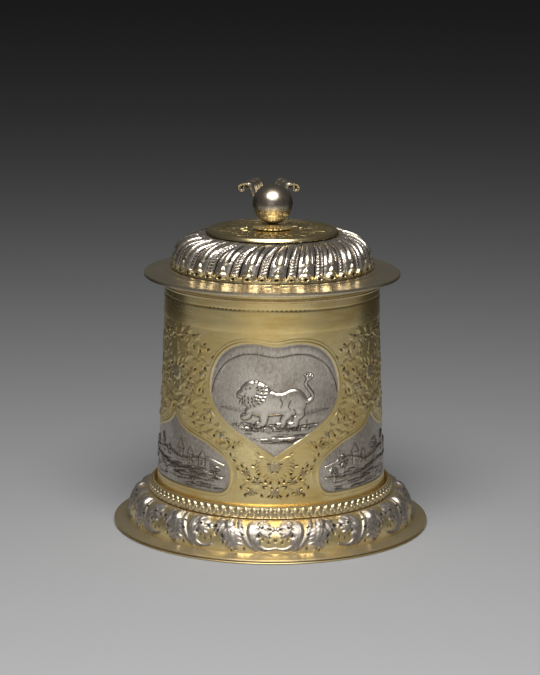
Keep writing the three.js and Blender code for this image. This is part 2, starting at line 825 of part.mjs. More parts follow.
function hingeBlock() {
  const shape = new THREE.Shape();
  shape.moveTo(armFront(ARM_LOW), ARM_LOW);
  shape.lineTo(armFront(armHigh), armHigh);
  shape.lineTo(LID_RADIUS - 1.2, armHigh);
  shape.quadraticCurveTo(LID_RADIUS + 0.8, armHigh + 0.6, hingeY - KNUCKLE_RADIUS, HINGE_Z);
  shape.absarc(hingeY, HINGE_Z, KNUCKLE_RADIUS, Math.PI, 0, true);
  shape.quadraticCurveTo(hingeY + KNUCKLE_RADIUS + 0.3, handleTop + 0.7, blockBack, handleTop);
  shape.lineTo(blockBack, handleTop - HANDLE_THICKNESS);
  shape.quadraticCurveTo(LID_RADIUS, ARM_LOW + 4, armFront(ARM_LOW), ARM_LOW);
  let solid = toSolid(slab(shape, hingeWidth));
  solid = solid.subtract(toSolid(barX(pinBore, hingeWidth + 4, hingeY, HINGE_Z)));
  for (const index of [1, 3]) solid = solid.subtract(knuckleNotch(index));
  // the block hugs the round drum
  const wall = toSolid(drumShell(JOINT_GAP, 3 * DRUM_WALL));
  return fromSolid(solid.subtract(wall));
}

function hingePin() {
  const half = hingeWidth / 2 + 0.2;
  const end = half + PIN_HEAD_LENGTH;
  const pin = turned(
    [
      [0, -end],
      [0.7 * PIN_HEAD_RADIUS, -end + 0.2],
      [PIN_HEAD_RADIUS, -half - 0.4 * PIN_HEAD_LENGTH],
      [PIN_HEAD_RADIUS, -half],
      [PIN_RADIUS, -half],
      [PIN_RADIUS, half],
      [PIN_HEAD_RADIUS, half],
      [PIN_HEAD_RADIUS, half + 0.4 * PIN_HEAD_LENGTH],
      [0.7 * PIN_HEAD_RADIUS, end - 0.2],
      [0, end],
    ],
    SMALL_SIDES,
  );
  return pin.rotateY(Math.PI / 2).translate(0, hingeY, HINGE_Z);
}

// Thumbpiece: two straps rise together, part like a lyre and roll outwards

const thumbY = LID_RADIUS - THUMB_INSET;

const ribbonSection = [
  [-0.5, -0.4],
  [-0.35, -0.5],
  [0.35, -0.5],
  [0.5, -0.4],
  [0.5, 0.3],
  [0.2, 0.5],
  [0, 0.3],
  [-0.2, 0.5],
  [-0.5, 0.3],
];

function volute() {
  const low = strapTop + JOINT_GAP + 0.4;
  const rollX = THUMB_HALF_SPAN - THUMB_ROLL_RADIUS;
  const rollZ = THUMB_TOP - 5.6;
  const points = [
    [1.5, low],
    [1.9, low + 0.35 * (THUMB_TOP - low)],
    [3.6, low + 0.65 * (THUMB_TOP - low)],
    [6.4, THUMB_TOP - 5],
    [9.6, THUMB_TOP - THUMB_THICKNESS / 2],
    [13, THUMB_TOP - 1.7],
  ];
  const turns = 7;
  for (let i = 0; i < turns; i++) {
    const angle = 0.35 * Math.PI - (i * 1.5 * Math.PI) / (turns - 1);
    const radius = THUMB_ROLL_RADIUS * (1 - 0.5 * (i / (turns - 1))) - 0.3;
    points.push([rollX + radius * Math.cos(angle), rollZ + radius * Math.sin(angle)]);
  }
  const curve = new THREE.SplineCurve(points.map(([x, z]) => new THREE.Vector2(x, z)));
  const stations = stationsOn(
    curve,
    24,
    (t) => THUMB_DEPTH * (0.75 + 0.25 * Math.min(1, t * 2)),
    (t) => THUMB_THICKNESS * (1 - 0.35 * t),
  );
  // the loft lies in the YZ plane, so it is turned to spread along X
  const geometry = flatLoft(stations, ribbonSection).rotateZ(-Math.PI / 2);
  return geometry.translate(0, thumbY, 0);
}

function thumbpiece() {
  const low = strapTop + JOINT_GAP;
  const shape = new THREE.Shape();
  const half = THUMB_FOOT_LENGTH / 2;
  shape.moveTo(thumbY - half, low);
  shape.lineTo(thumbY + half, low);
  shape.quadraticCurveTo(thumbY + 0.72 * half, low + 2.4, thumbY + 0.62 * half, low + 5);
  shape.lineTo(thumbY - 0.62 * half, low + 5);
  shape.quadraticCurveTo(thumbY - 0.72 * half, low + 2.4, thumbY - half, low);
  const base = toSolid(slab(shape, 8.4));
  const right = toSolid(volute());
  return fromSolid(base.add(right).add(right.mirror([1, 0, 0])));
}

// Handle: a scroll of rounded section, broad under the thumb and narrow at the tail

const handleSection = [
  [-0.5, -0.12],
  [-0.36, -0.5],
  [0.36, -0.5],
  [0.5, -0.12],
  [0.42, 0.26],
  [0.16, 0.44],
  [0, 0.5],
  [-0.16, 0.44],
  [-0.42, 0.26],
];

const handleStart = [blockBack + JOINT_GAP, handleTop - HANDLE_THICKNESS / 2];
const gripY = HANDLE_REACH - HANDLE_THICKNESS / 2;
const gripHeight = handleStart[1] - HANDLE_LOW;
const jointY = drumRadius(HANDLE_LOW) + HANDLE_STANDOFF;
const gripDepth = gripY - jointY;

// The tail's points, from the lower joint, as shares of its curl
const tailShares = [
  [0.24, 0.24],
  [0, -0.32],
  [0.27, -0.95],
  [0.79, -1],
  [1, -0.6],
  [0.67, -0.4],
  [0.52, -0.62],
];

// The scroll runs out from the block, down the grip and in to the lower joint, and its tail
// curls out again; clearance makes it fatter for cutting what it meets
function scroll(clearance) {
  const points = [
    handleStart,
    [handleStart[0] + HANDLE_THICKNESS, handleStart[1]],
    [gripY - 0.9 * HANDLE_THICKNESS, handleStart[1] - HANDLE_THICKNESS],
    [gripY, handleStart[1] - gripHeight / 3],
    [gripY - gripDepth / 9, HANDLE_LOW + gripHeight / 3],
    [gripY - 0.56 * gripDepth, HANDLE_LOW + gripHeight / 9],
    ...tailShares.map(([out, up]) => [
      jointY + out * HANDLE_TAIL_CURL,
      HANDLE_LOW + up * HANDLE_TAIL_CURL,
    ]),
  ];
  const curve = new THREE.SplineCurve(points.map(([y, z]) => new THREE.Vector2(y, z)));
  const blend = (from, to, t) => from + (to - from) * t;
  const stations = stationsOn(
    curve,
    46,
    (t) => blend(HANDLE_WIDTH, HANDLE_TAIL_WIDTH, Math.min(1, t / 0.75)) + 2 * clearance,
    (t) => blend(HANDLE_THICKNESS, HANDLE_TAIL_THICKNESS, t ** 2.2) + 2 * clearance,
  );
  return flatLoft(stations, handleSection);
}

// The round foot between the drum and the scroll
function bracket() {
  const wall = drumRadius(HANDLE_LOW) - DRUM_WALL;
  const rod = turned(
    [
      [0, wall],
      [BRACKET_RADIUS, wall],
      [BRACKET_RADIUS, drumRadius(HANDLE_LOW) + 1.5],
      [BRACKET_WAIST, jointY - 3.4],
      [BRACKET_WAIST, jointY],
      [0, jointY],
    ],
    24,
  );
  rod.rotateX(-Math.PI / 2).translate(0, 0, HANDLE_LOW - 2);
  const solid = toSolid(rod).subtract(toSolid(drumShell(JOINT_GAP, 2 * DRUM_WALL)));
  return fromSolid(solid.subtract(toSolid(scroll(JOINT_GAP))));
}

add("foot_wire", footWire(), GILT);
add("foot", foot(), GILT);
add("bead_collar", collar(), GILT);
add("drum", drum(), GILT);
add("drum_floor", drumFloor(), GILT);
add("lip_wire", lipWire(), GILT);
add("hinge_block", hingeBlock(), GILT);
add("hinge_pin", hingePin(), SILVER);
add("handle", scroll(0), GILT);
add("handle_bracket", bracket(), GILT);

add("lid_flange", lidFlange(), GILT, cover);
add("lid_bezel", bezel(), GILT, cover);
add("gadrooned_ring", gadroonedRing(), SILVER, cover);
add("lid_disc", disc(), GILT, cover);
add("finial_boss", boss(), GILT, cover);
add("finial_ball", ball(), SILVER, cover);
add("finial_stud", stud(), SILVER, cover);
add("finial_nut", nut(), SILVER, cover);
add("hinge_strap", strap(), GILT, cover);
add("thumbpiece", thumbpiece(), SILVER, cover);

// The origin is under the middle of the whole object, on the surface that it stands on
const box = new THREE.Box3().setFromObject(tankard);
tankard.position.y = -(box.min.y + box.max.y) / 2;

export default tankard;
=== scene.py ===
# %% [markdown]
# # A parcel-gilt covered tankard
#
# The real object is a silver drinking vessel of the baroque. A silversmith raised its drum, foot
# and cover from flat sheet with hammers, chased leaves and pictures into them with small punches,
# and gilded all but a few places, which stay white silver. Polished metal has hardly a colour of
# its own, so most of the work here goes into forms that catch the light.
#
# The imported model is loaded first. It gives every size below, and the new pieces ride on it.

import math

import bpy
import numpy as np
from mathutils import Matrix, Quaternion, Vector


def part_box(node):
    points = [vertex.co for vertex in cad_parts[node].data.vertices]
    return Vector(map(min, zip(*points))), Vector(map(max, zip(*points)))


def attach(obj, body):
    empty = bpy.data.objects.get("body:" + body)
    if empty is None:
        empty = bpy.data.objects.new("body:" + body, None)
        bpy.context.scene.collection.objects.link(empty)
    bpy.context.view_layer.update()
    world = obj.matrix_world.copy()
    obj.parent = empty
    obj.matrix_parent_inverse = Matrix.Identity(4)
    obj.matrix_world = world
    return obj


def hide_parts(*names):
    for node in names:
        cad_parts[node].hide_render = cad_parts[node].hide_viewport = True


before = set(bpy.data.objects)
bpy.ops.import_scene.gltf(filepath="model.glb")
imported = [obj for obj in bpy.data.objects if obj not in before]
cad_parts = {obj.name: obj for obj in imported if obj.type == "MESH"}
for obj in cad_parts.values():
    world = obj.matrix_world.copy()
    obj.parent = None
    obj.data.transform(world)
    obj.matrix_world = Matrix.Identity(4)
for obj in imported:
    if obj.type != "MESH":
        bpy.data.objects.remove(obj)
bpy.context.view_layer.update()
MM = 0.001
TAU = 2 * math.pi

# %% [markdown]
# The drum, the foot and the cover are round about one upright axis. The handle makes the whole
# object longer on one side, so that axis isn't at the frame's middle: the drum's box tells where
# it is. Each round node is read as a radius and two heights, in millimetres, as a turner would
# measure it.

# %% The axis and the round nodes
drum_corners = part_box("drum")
AXIS_Y = (drum_corners[0].y + drum_corners[1].y) / 2
AXIS_MM = AXIS_Y / MM


def round_size(node):
    """A round node's radius and the heights of its underside and its top."""
    low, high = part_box(node)
    return (high.x - low.x) / 2 / MM, low.z / MM, high.z / MM


FOOT_R, _, _ = round_size("foot")
WIRE_R, _, WIRE_TOP = round_size("foot_wire")
_, COLLAR_LOW, _ = round_size("bead_collar")
DRUM_R, DRUM_LOW, DRUM_TOP = round_size("drum")
FLANGE_R, FLANGE_LOW, FLANGE_TOP = round_size("lid_flange")
BEZEL_R, BEZEL_LOW, _ = round_size("lid_bezel")
RING_R, RING_LOW, RING_TOP = round_size("gadrooned_ring")
DISC_R, DISC_LOW, _ = round_size("lid_disc")
BOSS_R, BOSS_LOW, BOSS_TOP = round_size("finial_boss")
BALL_R, BALL_LOW, BALL_TOP = round_size("finial_ball")
print(f"axis at y = {AXIS_MM:.2f} mm, drum {2 * DRUM_R:.1f} mm across at its base")

# %% [markdown]
# Shader maths reads best as sums, so a small class wraps one output socket of a node and gives it
# the usual operators: each one adds a Math node. Any other node comes from `Finish.node`, which
# takes the node's settings and the values or links of its sockets.


# %% Shader arithmetic
class Wire:
    """What one output socket sends out, to calculate with."""

    def __init__(self, finish, socket):
        self.finish = finish
        self.socket = socket

    def _math(self, operation, *values):
        sockets = dict(enumerate(values))
        return self.finish.node("ShaderNodeMath", {"operation": operation}, sockets)

    def __add__(self, other):
        return self._math("ADD", self, other)

    def __radd__(self, other):
        return self._math("ADD", other, self)

    def __sub__(self, other):
        return self._math("SUBTRACT", self, other)

    def __rsub__(self, other):
        return self._math("SUBTRACT", other, self)

    def __mul__(self, other):
        return self._math("MULTIPLY", self, other)

    def __pow__(self, other):
        return self._math("POWER", self, other)

    def clipped(self):
        return self.finish.node("ShaderNodeClamp", {}, {"Value": self})


class Finish:
    """One material and the nodes that make it."""

    def __init__(self, name):
        self.material = bpy.data.materials.new(name)
        self.material.use_nodes = True
        self.tree = self.material.node_tree
        self.shader = self.tree.nodes["Principled BSDF"]

    def node(self, kind, settings, sockets, output=0):
        made = self.tree.nodes.new(kind)
        for key, value in settings.items():
            setattr(made, key, value)
        for key, value in sockets.items():
            self._feed(made.inputs[key], value)
        return Wire(self, made.outputs[output])

    def _feed(self, entry, value):
        if isinstance(value, Wire):
            self.tree.links.new(value.socket, entry)
        else:
            entry.default_value = value

    def set(self, **sockets):
        for key, value in sockets.items():
            self._feed(self.shader.inputs[key.replace("_", " ")], value)

    def attribute(self, name):
        return self.node("ShaderNodeAttribute", {"attribute_name": name}, {}, output="Fac")

    def blend(self, share, first, second):
        """The first colour where share is 0, the second where it is 1."""
        settings = {"data_type": "RGBA", "blend_type": "MIX"}
        return self.node("ShaderNodeMix", settings, {0: share, 6: first, 7: second}, output=2)

    def place(self):
        return self.node("ShaderNodeTexCoord", {}, {}, output="Object")

    def vector(self, operation, sockets, output=0):
        return self.node("ShaderNodeVectorMath", {"operation": operation}, sockets, output)

    def grains(self, where, detail, rough):
        sockets = {"Vector": where, "Scale": 1.0, "Detail": detail, "Roughness": rough}
        return self.node("ShaderNodeTexNoise", {}, sockets)

    def noise(self, per_mm, stretch=(1, 1, 1), detail=3.0, rough=0.55):
        """Grey noise with that many grains to a millimetre, squeezed along the axes."""
        per_metre = tuple(per_mm / MM * s for s in stretch)
        scaled = self.node("ShaderNodeMapping", {}, {"Vector": self.place(), "Scale": per_metre})
        return self.grains(scaled, detail, rough)

    def hairs(self, per_mm):
        """Fine lines that run round the body, as polishing leaves them."""
        place = self.place()
        centred = self.vector("SUBTRACT", {0: place, 1: (0, AXIS_Y, 0)})
        flat = self.vector("MULTIPLY", {0: centred, 1: (1, 1, 0)})
        radius = self.vector("LENGTH", {0: flat}, "Value")
        height = self.vector("DOT_PRODUCT", {0: place, 1: (0, 0, 1)}, "Value")
        across = self.node("ShaderNodeCombineXYZ", {}, {"Z": (height - radius) * (per_mm / MM)})
        along = self.vector("SCALE", {0: flat, "Scale": 0.06 / MM})
        return self.grains(self.vector("ADD", {0: across, 1: along}), 4.0, 0.7)


def colour(red, green, blue):
    """A colour given as a screen shows it, from 0 to 255, in the renderer's linear values."""
    shares = [c / 255 for c in (red, green, blue)]
    linear = [s / 12.92 if s <= 0.04045 else ((s + 0.055) / 1.055) ** 2.4 for s in shares]
    return (*linear, 1.0)


# %% [markdown]
# Fire gilding is a thin, pale, slightly green gold, softly polished and duller in the hollows,
# where old polish and tarnish collect. Bare silver that is polished is nearly white, while chased
# silver looks grey, because its tarnish stays between the marks. Both are one material here, with
# a share of gilding from 0 to 1: on the chased pieces the mesh carries that share, and a share of
# grime, as attributes of its own. The grime is mostly real tarnish, and on the collar's inner side
# it is painted shade. It also tarnishes the silver round it. Part of the surface is a dull old film
# that scatters light, and each piece has its own share of that. Fine scratches from centuries of
# rubbing run mostly round the body.


# %% The metals
GOLD = colour(240, 219, 160)
DEEP_GOLD = colour(224, 190, 112)
SILVER = colour(218, 209, 196)
TARNISH = colour(150, 138, 124)
GILT_GRIME_AND_SHADE = colour(46, 32, 14)
SILVER_GRIME_AND_SHADE = colour(32, 28, 28)


def metal(name, gilding, grime_and_shade, polish, wear=1.0, film=0.16, gilt_film=None):
    """gilding and grime are numbers or names of attributes, where the grime is mostly tarnish and in
    places painted shade. polish is the roughness, and film is the share of dull old film, which
    scatters light instead of mirroring it. Where the gilding stays cleaner than the silver,
    gilt_film is its own share."""
    finish = Finish(name)
    share = finish.attribute(gilding) if isinstance(gilding, str) else gilding
    dirt_and_shade = finish.attribute(grime_and_shade) if isinstance(grime_and_shade, str) else grime_and_shade
    clouds = finish.noise(0.035, detail=4.0)
    spots = finish.noise(0.5, detail=5.0, rough=0.65)
    hairs = finish.hairs(1.6)
    patches = ((clouds - 0.42) * 3.2).clipped() * wear
    streaks = ((finish.hairs(0.22) - 0.5) * 2.6).clipped() * wear
    fine_spots = finish.noise(1.1, stretch=(1, 1, 0.45), detail=3.0)
    gold = finish.blend((patches * 0.45 + streaks * 0.6).clipped(), GOLD, DEEP_GOLD)
    white = finish.blend((patches * 0.4 + (fine_spots - 0.42) * 1.6 + dirt_and_shade * 1.2).clipped(), SILVER, TARNISH)
    bare = finish.blend(share, white, gold)
    # grime and painted shade both darken the metal towards these soot colours
    soot_and_shade = finish.blend(share, SILVER_GRIME_AND_SHADE, GILT_GRIME_AND_SHADE)
    stain = ((spots - 0.6) * 2.5).clipped() * (0.18 * wear)
    soiling_and_shade = (dirt_and_shade + stain + streaks * 0.05).clipped()
    finish.set(
        Base_Color=finish.blend(soiling_and_shade, bare, soot_and_shade),
        Metallic=1.0 - film if gilt_film is None else share * (film - gilt_film) + (1.0 - film),
        Roughness=(polish + patches * 0.07 + hairs * 0.1 + soiling_and_shade * 0.3 - 0.05).clipped(),
    )
    height = hairs * 0.5 + spots * 0.5
    relief = {"Strength": 0.1 * wear, "Distance": 0.04 * MM, "Height": height}
    finish.set(Normal=finish.node("ShaderNodeBump", {}, relief))
    return finish.material


# %% [markdown]
# New pieces are made with the same few steps each time. Everything is deselected first, because
# an operator works on all that is selected. `added` adds a ready shape under a name, and
# `edit_points` and `leave_points` go into Edit Mode and out of it. `closed` merges a piece's
# doubles and turns its faces outwards, and `joined` makes one piece of several. `finished` smooths
# a piece's shading, gives it its metal and its body, and hides the imported node that it stands for.


# %% Helpers for meshes
MERGE_MM = 0.002


def nothing_selected():
    if bpy.context.object and bpy.context.object.mode != "OBJECT":
        bpy.ops.object.mode_set(mode="OBJECT")
    bpy.ops.object.select_all(action="DESELECT")


def only(piece):
    nothing_selected()
    piece.select_set(True)
    bpy.context.view_layer.objects.active = piece


def rename(piece, name):
    piece.name = name
    piece.data.name = name
    return piece


def added(operator, name, **settings):
    nothing_selected()
    operator(**settings)
    return rename(bpy.context.object, name)


def copy_of(piece):
    only(piece)
    bpy.ops.object.duplicate(linked=False)
    return bpy.context.object


def edit_points(select="SELECT"):
    bpy.ops.object.mode_set(mode="EDIT")
    bpy.ops.mesh.select_all(action=select)


def leave_points():
    bpy.ops.object.mode_set(mode="OBJECT")


def closed(piece, merge=MERGE_MM):
    only(piece)
    edit_points()
    bpy.ops.mesh.remove_doubles(threshold=merge * MM)
    bpy.ops.mesh.normals_make_consistent(inside=False)
    leave_points()
    return piece


def joined(pieces, name):
    nothing_selected()
    for piece in pieces:
        piece.select_set(True)
    bpy.context.view_layer.objects.active = pieces[0]
    bpy.ops.object.join()
    return rename(bpy.context.object, name)


def finished(piece, finish, body, node, smooth=40):
    only(piece)
    bpy.ops.object.transform_apply()
    bpy.ops.object.shade_smooth_by_angle(angle=math.radians(smooth))
    piece.data.materials.clear()
    piece.data.materials.append(finish)
    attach(piece, body)
    if node:
        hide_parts(node)
    print(f"{piece.name}: {len(piece.data.polygons)} faces")


# %% [markdown]
# A turned piece starts as one point on its profile. The point is extruded along the profile and
# a Screw modifier then carries the line round the axis, which is what a lathe does to the real
# one, and is far quicker than the Spin tool where the net is fine. Profiles are lists of radius
# and height in millimetres. `rounded` draws a smooth line where the real one has no corners.


# %% Turned pieces
def rounded(points, step):
    """Points at equal steps on a smooth curve through the given ones."""
    given = np.array(points, float)
    ends = np.vstack([2 * given[0] - given[1], given, 2 * given[-1] - given[-2]])
    t = np.linspace(0, 1, 24, endpoint=False)[:, None]
    spans = []
    for i in range(len(given) - 1):
        p0, p1, p2, p3 = ends[i : i + 4]
        bend = (2 * p0 - 5 * p1 + 4 * p2 - p3) * t**2 + (3 * p1 - p0 - 3 * p2 + p3) * t**3
        spans.append(0.5 * (2 * p1 + (p2 - p0) * t + bend))
    return evenly(np.vstack([*spans, given[-1:]]), step)


def on_curve(points, step):
    """The same as a profile that more points can be added to."""
    return list(map(tuple, rounded(points, step)))


def lengths(line):
    """How far along a line each of its points lies."""
    return np.append(0, np.cumsum(np.hypot(*np.diff(np.array(line, float), axis=0).T)))


def evenly(line, step):
    line = np.array(line, float)
    along = lengths(line)
    wanted = np.linspace(0, along[-1], max(2, round(along[-1] / step) + 1))
    return np.stack([np.interp(wanted, along, line[:, k]) for k in range(2)], 1)


def turned(name, profile, sides=192, sector=(0.0, TAU)):
    """Turns a profile that is closed, or that starts and ends on the axis, round that axis."""
    first, last = sector
    facing = Vector((math.sin(first), -math.cos(first), 0)) * MM
    line = [facing * r + Vector((0, 0, z * MM)) for r, z in profile]
    piece = added(bpy.ops.mesh.primitive_plane_add, name, size=MM, location=line[0])
    bpy.ops.object.transform_apply()
    edit_points()
    bpy.ops.mesh.merge(type="CENTER")
    for here, there in zip(line, line[1:]):
        bpy.ops.mesh.extrude_region_move(TRANSFORM_OT_translate={"value": there - here})
    leave_points()
    lathe = piece.modifiers.new("lathe", "SCREW")
    lathe.angle = last - first
    lathe.steps = lathe.render_steps = sides
    lathe.use_merge_vertices = True
    lathe.merge_threshold = MERGE_MM * MM
    bpy.ops.object.modifier_apply(modifier="lathe")
    piece.location = (0, AXIS_Y, 0)
    bpy.ops.object.transform_apply()
    return closed(piece)


# %% [markdown]
# A chased piece begins as such a turned one, with a fine net of faces. The chaser's work is then
# done to its points: each point of the outer face is lifted or sunk at right angles to the face.
# Modelling thousands of punch marks by hand isn't practical, so their heights come from a flat
# drawing, the relief below, that is wrapped round the piece. `places` gives each point its turn
# round the axis and its distance along the profile, and tells which points lie on the outer face.


# %% Wrapping a relief round a turned piece
AT_A_TIME = 4000
ON_FACE_MM = 0.01


def points_of(piece):
    flat = np.empty(3 * len(piece.data.vertices), np.float32)
    piece.data.vertices.foreach_get("co", flat)
    return flat.reshape(-1, 3).astype(float) / MM


def set_points(piece, where):
    piece.data.vertices.foreach_set("co", (where * MM).astype(np.float32).ravel())
    piece.data.update()


def places(piece, outer):
    """The points' turns, nearest profile points, distances along it, and which are on the face."""
    outer = np.array(outer, float)
    where = points_of(piece)
    sideways, back = where[:, 0], where[:, 1] - AXIS_MM
    radius = np.hypot(sideways, back)
    turn = np.arctan2(sideways, -back)
    row = np.zeros(len(where), int)
    gap = np.zeros(len(where))
    for i in range(0, len(where), AT_A_TIME):
        part = slice(i, i + AT_A_TIME)
        apart = np.hypot(radius[part, None] - outer[:, 0], where[part, 2, None] - outer[:, 1])
        row[part] = apart.argmin(1)
        gap[part] = apart.min(1)
    return turn, row, lengths(outer)[row], gap < ON_FACE_MM


def chased(name, outer, inner, sides):
    """A turned piece with the places of its points, ready for a relief."""
    piece = turned(name, outer + inner + outer[:1], sides)
    return (piece, *places(piece, outer))


def lift(piece, outer, turn, row, on_face, heights):
    """Moves the face's points outwards by their heights, in mm."""
    slope = np.gradient(np.array(outer, float), axis=0)
    slope /= np.hypot(*slope.T)[:, None]
    where = points_of(piece)
    out = np.where(on_face, heights, 0) * slope[row, 1]
    where[:, 0] += out * np.sin(turn)
    where[:, 1] -= out * np.cos(turn)
    where[:, 2] -= np.where(on_face, heights, 0) * slope[row, 0]
    set_points(piece, where)


def carry(piece, name, values):
    """Stores one number for each point, which the metal reads."""
    layer = piece.data.attributes.new(name, "FLOAT", "POINT")
    layer.data.foreach_set("value", np.asarray(values, np.float32).ravel())


# %% [markdown]
# The relief is a flat sheet of heights. It is worked as the real sheet is: a domed punch from
# behind raises a mound, a liner drawn along a curve raises a ridge or cuts a line, and a sharp
# punch leaves a dark hole. Where two marks meet, the higher mound or the deeper cut wins, which
# gives the crisp creases of chased work. A second raised sheet lies on top of the first, for a
# bead or a bone on a leaf.


# %% The relief and its punches
def spread(values, shares):
    """Values given from a line's start to its end, read at some shares of its length."""
    return np.interp(shares, np.linspace(0, 1, len(values)), values)


def ramp(distance, width):
    """Rises from 0 to 1 over a width."""
    return np.clip(distance / width, 0, 1)


class Relief:
    """Five sheets of heights in mm: raised and top, cut, dark for grime, white for bare silver."""

    def __init__(self, left, right, low, high, cell=0.15):
        self.cell = cell
        self.across = np.arange(left, right + cell / 2, cell)
        self.up = np.arange(low, high + cell / 2, cell)
        size = (len(self.up), len(self.across))
        names = ("raised", "top", "cut", "dark", "white")
        self.sheets = {name: np.zeros(size, np.float32) for name in names}

    def punch(self, sheet, at, size, height, turn=0.0, taper=0.0):
        """A domed mark, size long and wide; taper points it in the direction of its turn."""
        length, width = size
        reach = 0.5 * max(length, width * (1 + abs(taper))) + self.cell
        x0, x1 = np.searchsorted(self.across, [at[0] - reach, at[0] + reach])
        z0, z1 = np.searchsorted(self.up, [at[1] - reach, at[1] + reach])
        dx = self.across[None, x0:x1] - at[0]
        dz = self.up[z0:z1, None] - at[1]
        c, s = math.cos(turn), math.sin(turn)
        along = (dx * c + dz * s) / (0.5 * length)
        narrow = np.maximum(1 - taper * np.clip(along, -1, 1), 0.05)
        side = (dz * c - dx * s) / (0.5 * width) / narrow
        mark = height * np.sqrt(np.clip(1 - along**2 - side**2, 0, 1))
        target = self.sheets[sheet][z0:z1, x0:x1]
        np.maximum(target, mark, out=target)

    def ridge(self, sheet, line, widths, height):
        """A round ridge or groove along a line of points, with widths from its start to its end."""
        for point, width in zip(line, spread(widths, np.linspace(0, 1, len(line)))):
            self.punch(sheet, point, (width, width), height)

    def curve(self, sheet, points, widths, height):
        self.ridge(sheet, rounded(points, max(0.3, 0.35 * min(widths))), widths, height)

    def straight(self, sheet, start, end, widths, height, step=0.25):
        self.ridge(sheet, evenly([start, end], step), widths, height)

    def inside(self, outline):
        """Which cells lie inside a closed outline."""
        within = np.zeros((len(self.up), len(self.across)), bool)
        x0, x1 = np.searchsorted(self.across, [outline[:, 0].min(), outline[:, 0].max()])
        x = self.across[None, x0:x1]
        for (xa, za), (xb, zb) in zip(outline, np.roll(outline, -1, axis=0)):
            z0, z1 = np.searchsorted(self.up, sorted((za, zb)))
            if z0 < z1:
                z = self.up[z0:z1, None]
                within[z0:z1, x0:x1] ^= x < xa + (z - za) * (xb - xa) / (zb - za)
        return within

    def at(self, name, x, z):
        """A sheet's value at places between its cells."""
        picture = self.sheets[name]
        column = np.clip((x - self.across[0]) / self.cell, 0, len(self.across) - 1.001)
        line = np.clip((z - self.up[0]) / self.cell, 0, len(self.up) - 1.001)
        i, j = column.astype(int), line.astype(int)
        u, v = column - i, line - j
        low = picture[j, i] * (1 - u) + picture[j, i + 1] * u
        high = picture[j + 1, i] * (1 - u) + picture[j + 1, i + 1] * u
        return low * (1 - v) + high * v


def softened(picture, times):
    for _ in range(times):
        for axis in (0, 1):
            picture = (picture * 2 + np.roll(picture, 1, axis) + np.roll(picture, -1, axis)) / 4
    return picture


def grime_of(height, dark, reach, strength):
    """Old polish stays where the face lies lower than what is round it."""
    hollow = softened(height, reach) - height
    return np.clip(strength * hollow - 0.03, 0, 0.75) + dark


# %% [markdown]
# The ornament is built from a few marks that any chaser has. A leaf is a pointed mound with a
# vein, side nicks and a dark tear at its root; a sprig is a stem that carries leaves on both
# sides; a blossom is a ring of petals round a boss. Its petals are left white, without gilding.


# %% Leaves, sprigs and blossoms
DRAWN_STEP = 0.3


def direction(line, i):
    a, b = line[max(i - 1, 0)], line[min(i + 1, len(line) - 1)]
    return math.atan2(b[1] - a[1], b[0] - a[0])


def beside(point, angle, distance):
    return (point[0] + distance * math.cos(angle), point[1] + distance * math.sin(angle))


def leaf(relief, points, width, height=0.34, lobes=2):
    """A pointed mound along a line, with side lobes, a vein and a dark root."""
    line = rounded(points, DRAWN_STEP)
    relief.ridge("raised", line, [0.3 * width, 0.72 * width, 0.6 * width, 0.12 * width], height)
    for k in range(lobes):
        share = 0.22 + 0.42 * k / max(lobes - 1, 1)
        i = int(share * (len(line) - 1))
        heading = direction(line, i)
        size = width * (1.0 - 0.3 * k)
        for side in (-1, 1):
            angle = heading + side * 0.8
            near, middle, far = (beside(line[i], angle, part * size) for part in (0.15, 0.5, 0.8))
            relief.punch("raised", middle, (1.05 * size, 0.52 * size), 0.92 * height, angle, 0.45)
            relief.straight("cut", near, far, [0.3, 0.2], 0.16)
    relief.ridge("cut", line[: int(0.9 * len(line))], [0.42, 0.25], 0.24)
    relief.ridge("dark", line[: int(0.6 * len(line))], [0.4, 0.2], 0.4)


def tear(relief, at, angle, size):
    """A dark drop left by a sharp punch, pointing along the angle."""
    for sheet, depth in (("dark", 1.0), ("cut", 0.35)):
        relief.punch(sheet, at, (1.15 * size, 0.56 * size), depth, angle, 0.6)
    relief.punch("raised", beside(at, angle + 1.5, 0.5 * size), (1.2 * size, 0.5 * size), 0.2, angle, 0.4)


def sprig(relief, points, leaf_length, spacing):
    """A stem with leaves to its left and right in turns; spacing is from one pair to the next."""
    line = rounded(points, DRAWN_STEP)
    relief.ridge("raised", line, [1.0, 0.6], 0.36)
    at, turn_of = 1.2, 0
    length = DRAWN_STEP * (len(line) - 1)
    while at < length - 1:
        i = int(at / DRAWN_STEP)
        side = (-1, 1)[turn_of % 2]
        heading = direction(line, i)
        size = leaf_length * (1.05 - 0.4 * at / length)
        bend = beside(line[i], heading + side * 0.55, 0.5 * size)
        tip = beside(bend, heading + side * 1.15, 0.55 * size)
        leaf(relief, [line[i], bend, tip], 0.5 * size)
        if turn_of % 3 == 1:
            tear(relief, beside(line[i], heading + side * 1.9, 0.3 * size), heading + side * 0.5, 2.1)
        at += spacing / 2
        turn_of += 1


def blossom(relief, at, size, petals, turn=0.0):
    """A ring of white petals round a boss, with dark drops in every other gap."""
    for k in range(petals):
        angle = turn + TAU * k / petals
        middle = beside(at, angle, 0.3 * size)
        relief.punch("raised", middle, (0.46 * size, 0.38 * size), 0.42, angle, -0.25)
        relief.punch("white", middle, (0.4 * size, 0.3 * size), 0.6, angle, -0.25)
        relief.punch("cut", middle, (0.3 * size, 0.2), 0.25, angle)
        relief.punch("dark", middle, (0.26 * size, 0.2), 0.5, angle)
    relief.punch("top", at, (0.26 * size, 0.26 * size), 0.35)
    for k in range(0, petals, 2):
        angle = turn + TAU * (k + 0.5) / petals
        tear(relief, beside(at, angle, 0.6 * size), angle + math.pi, max(1.6, 0.26 * size))


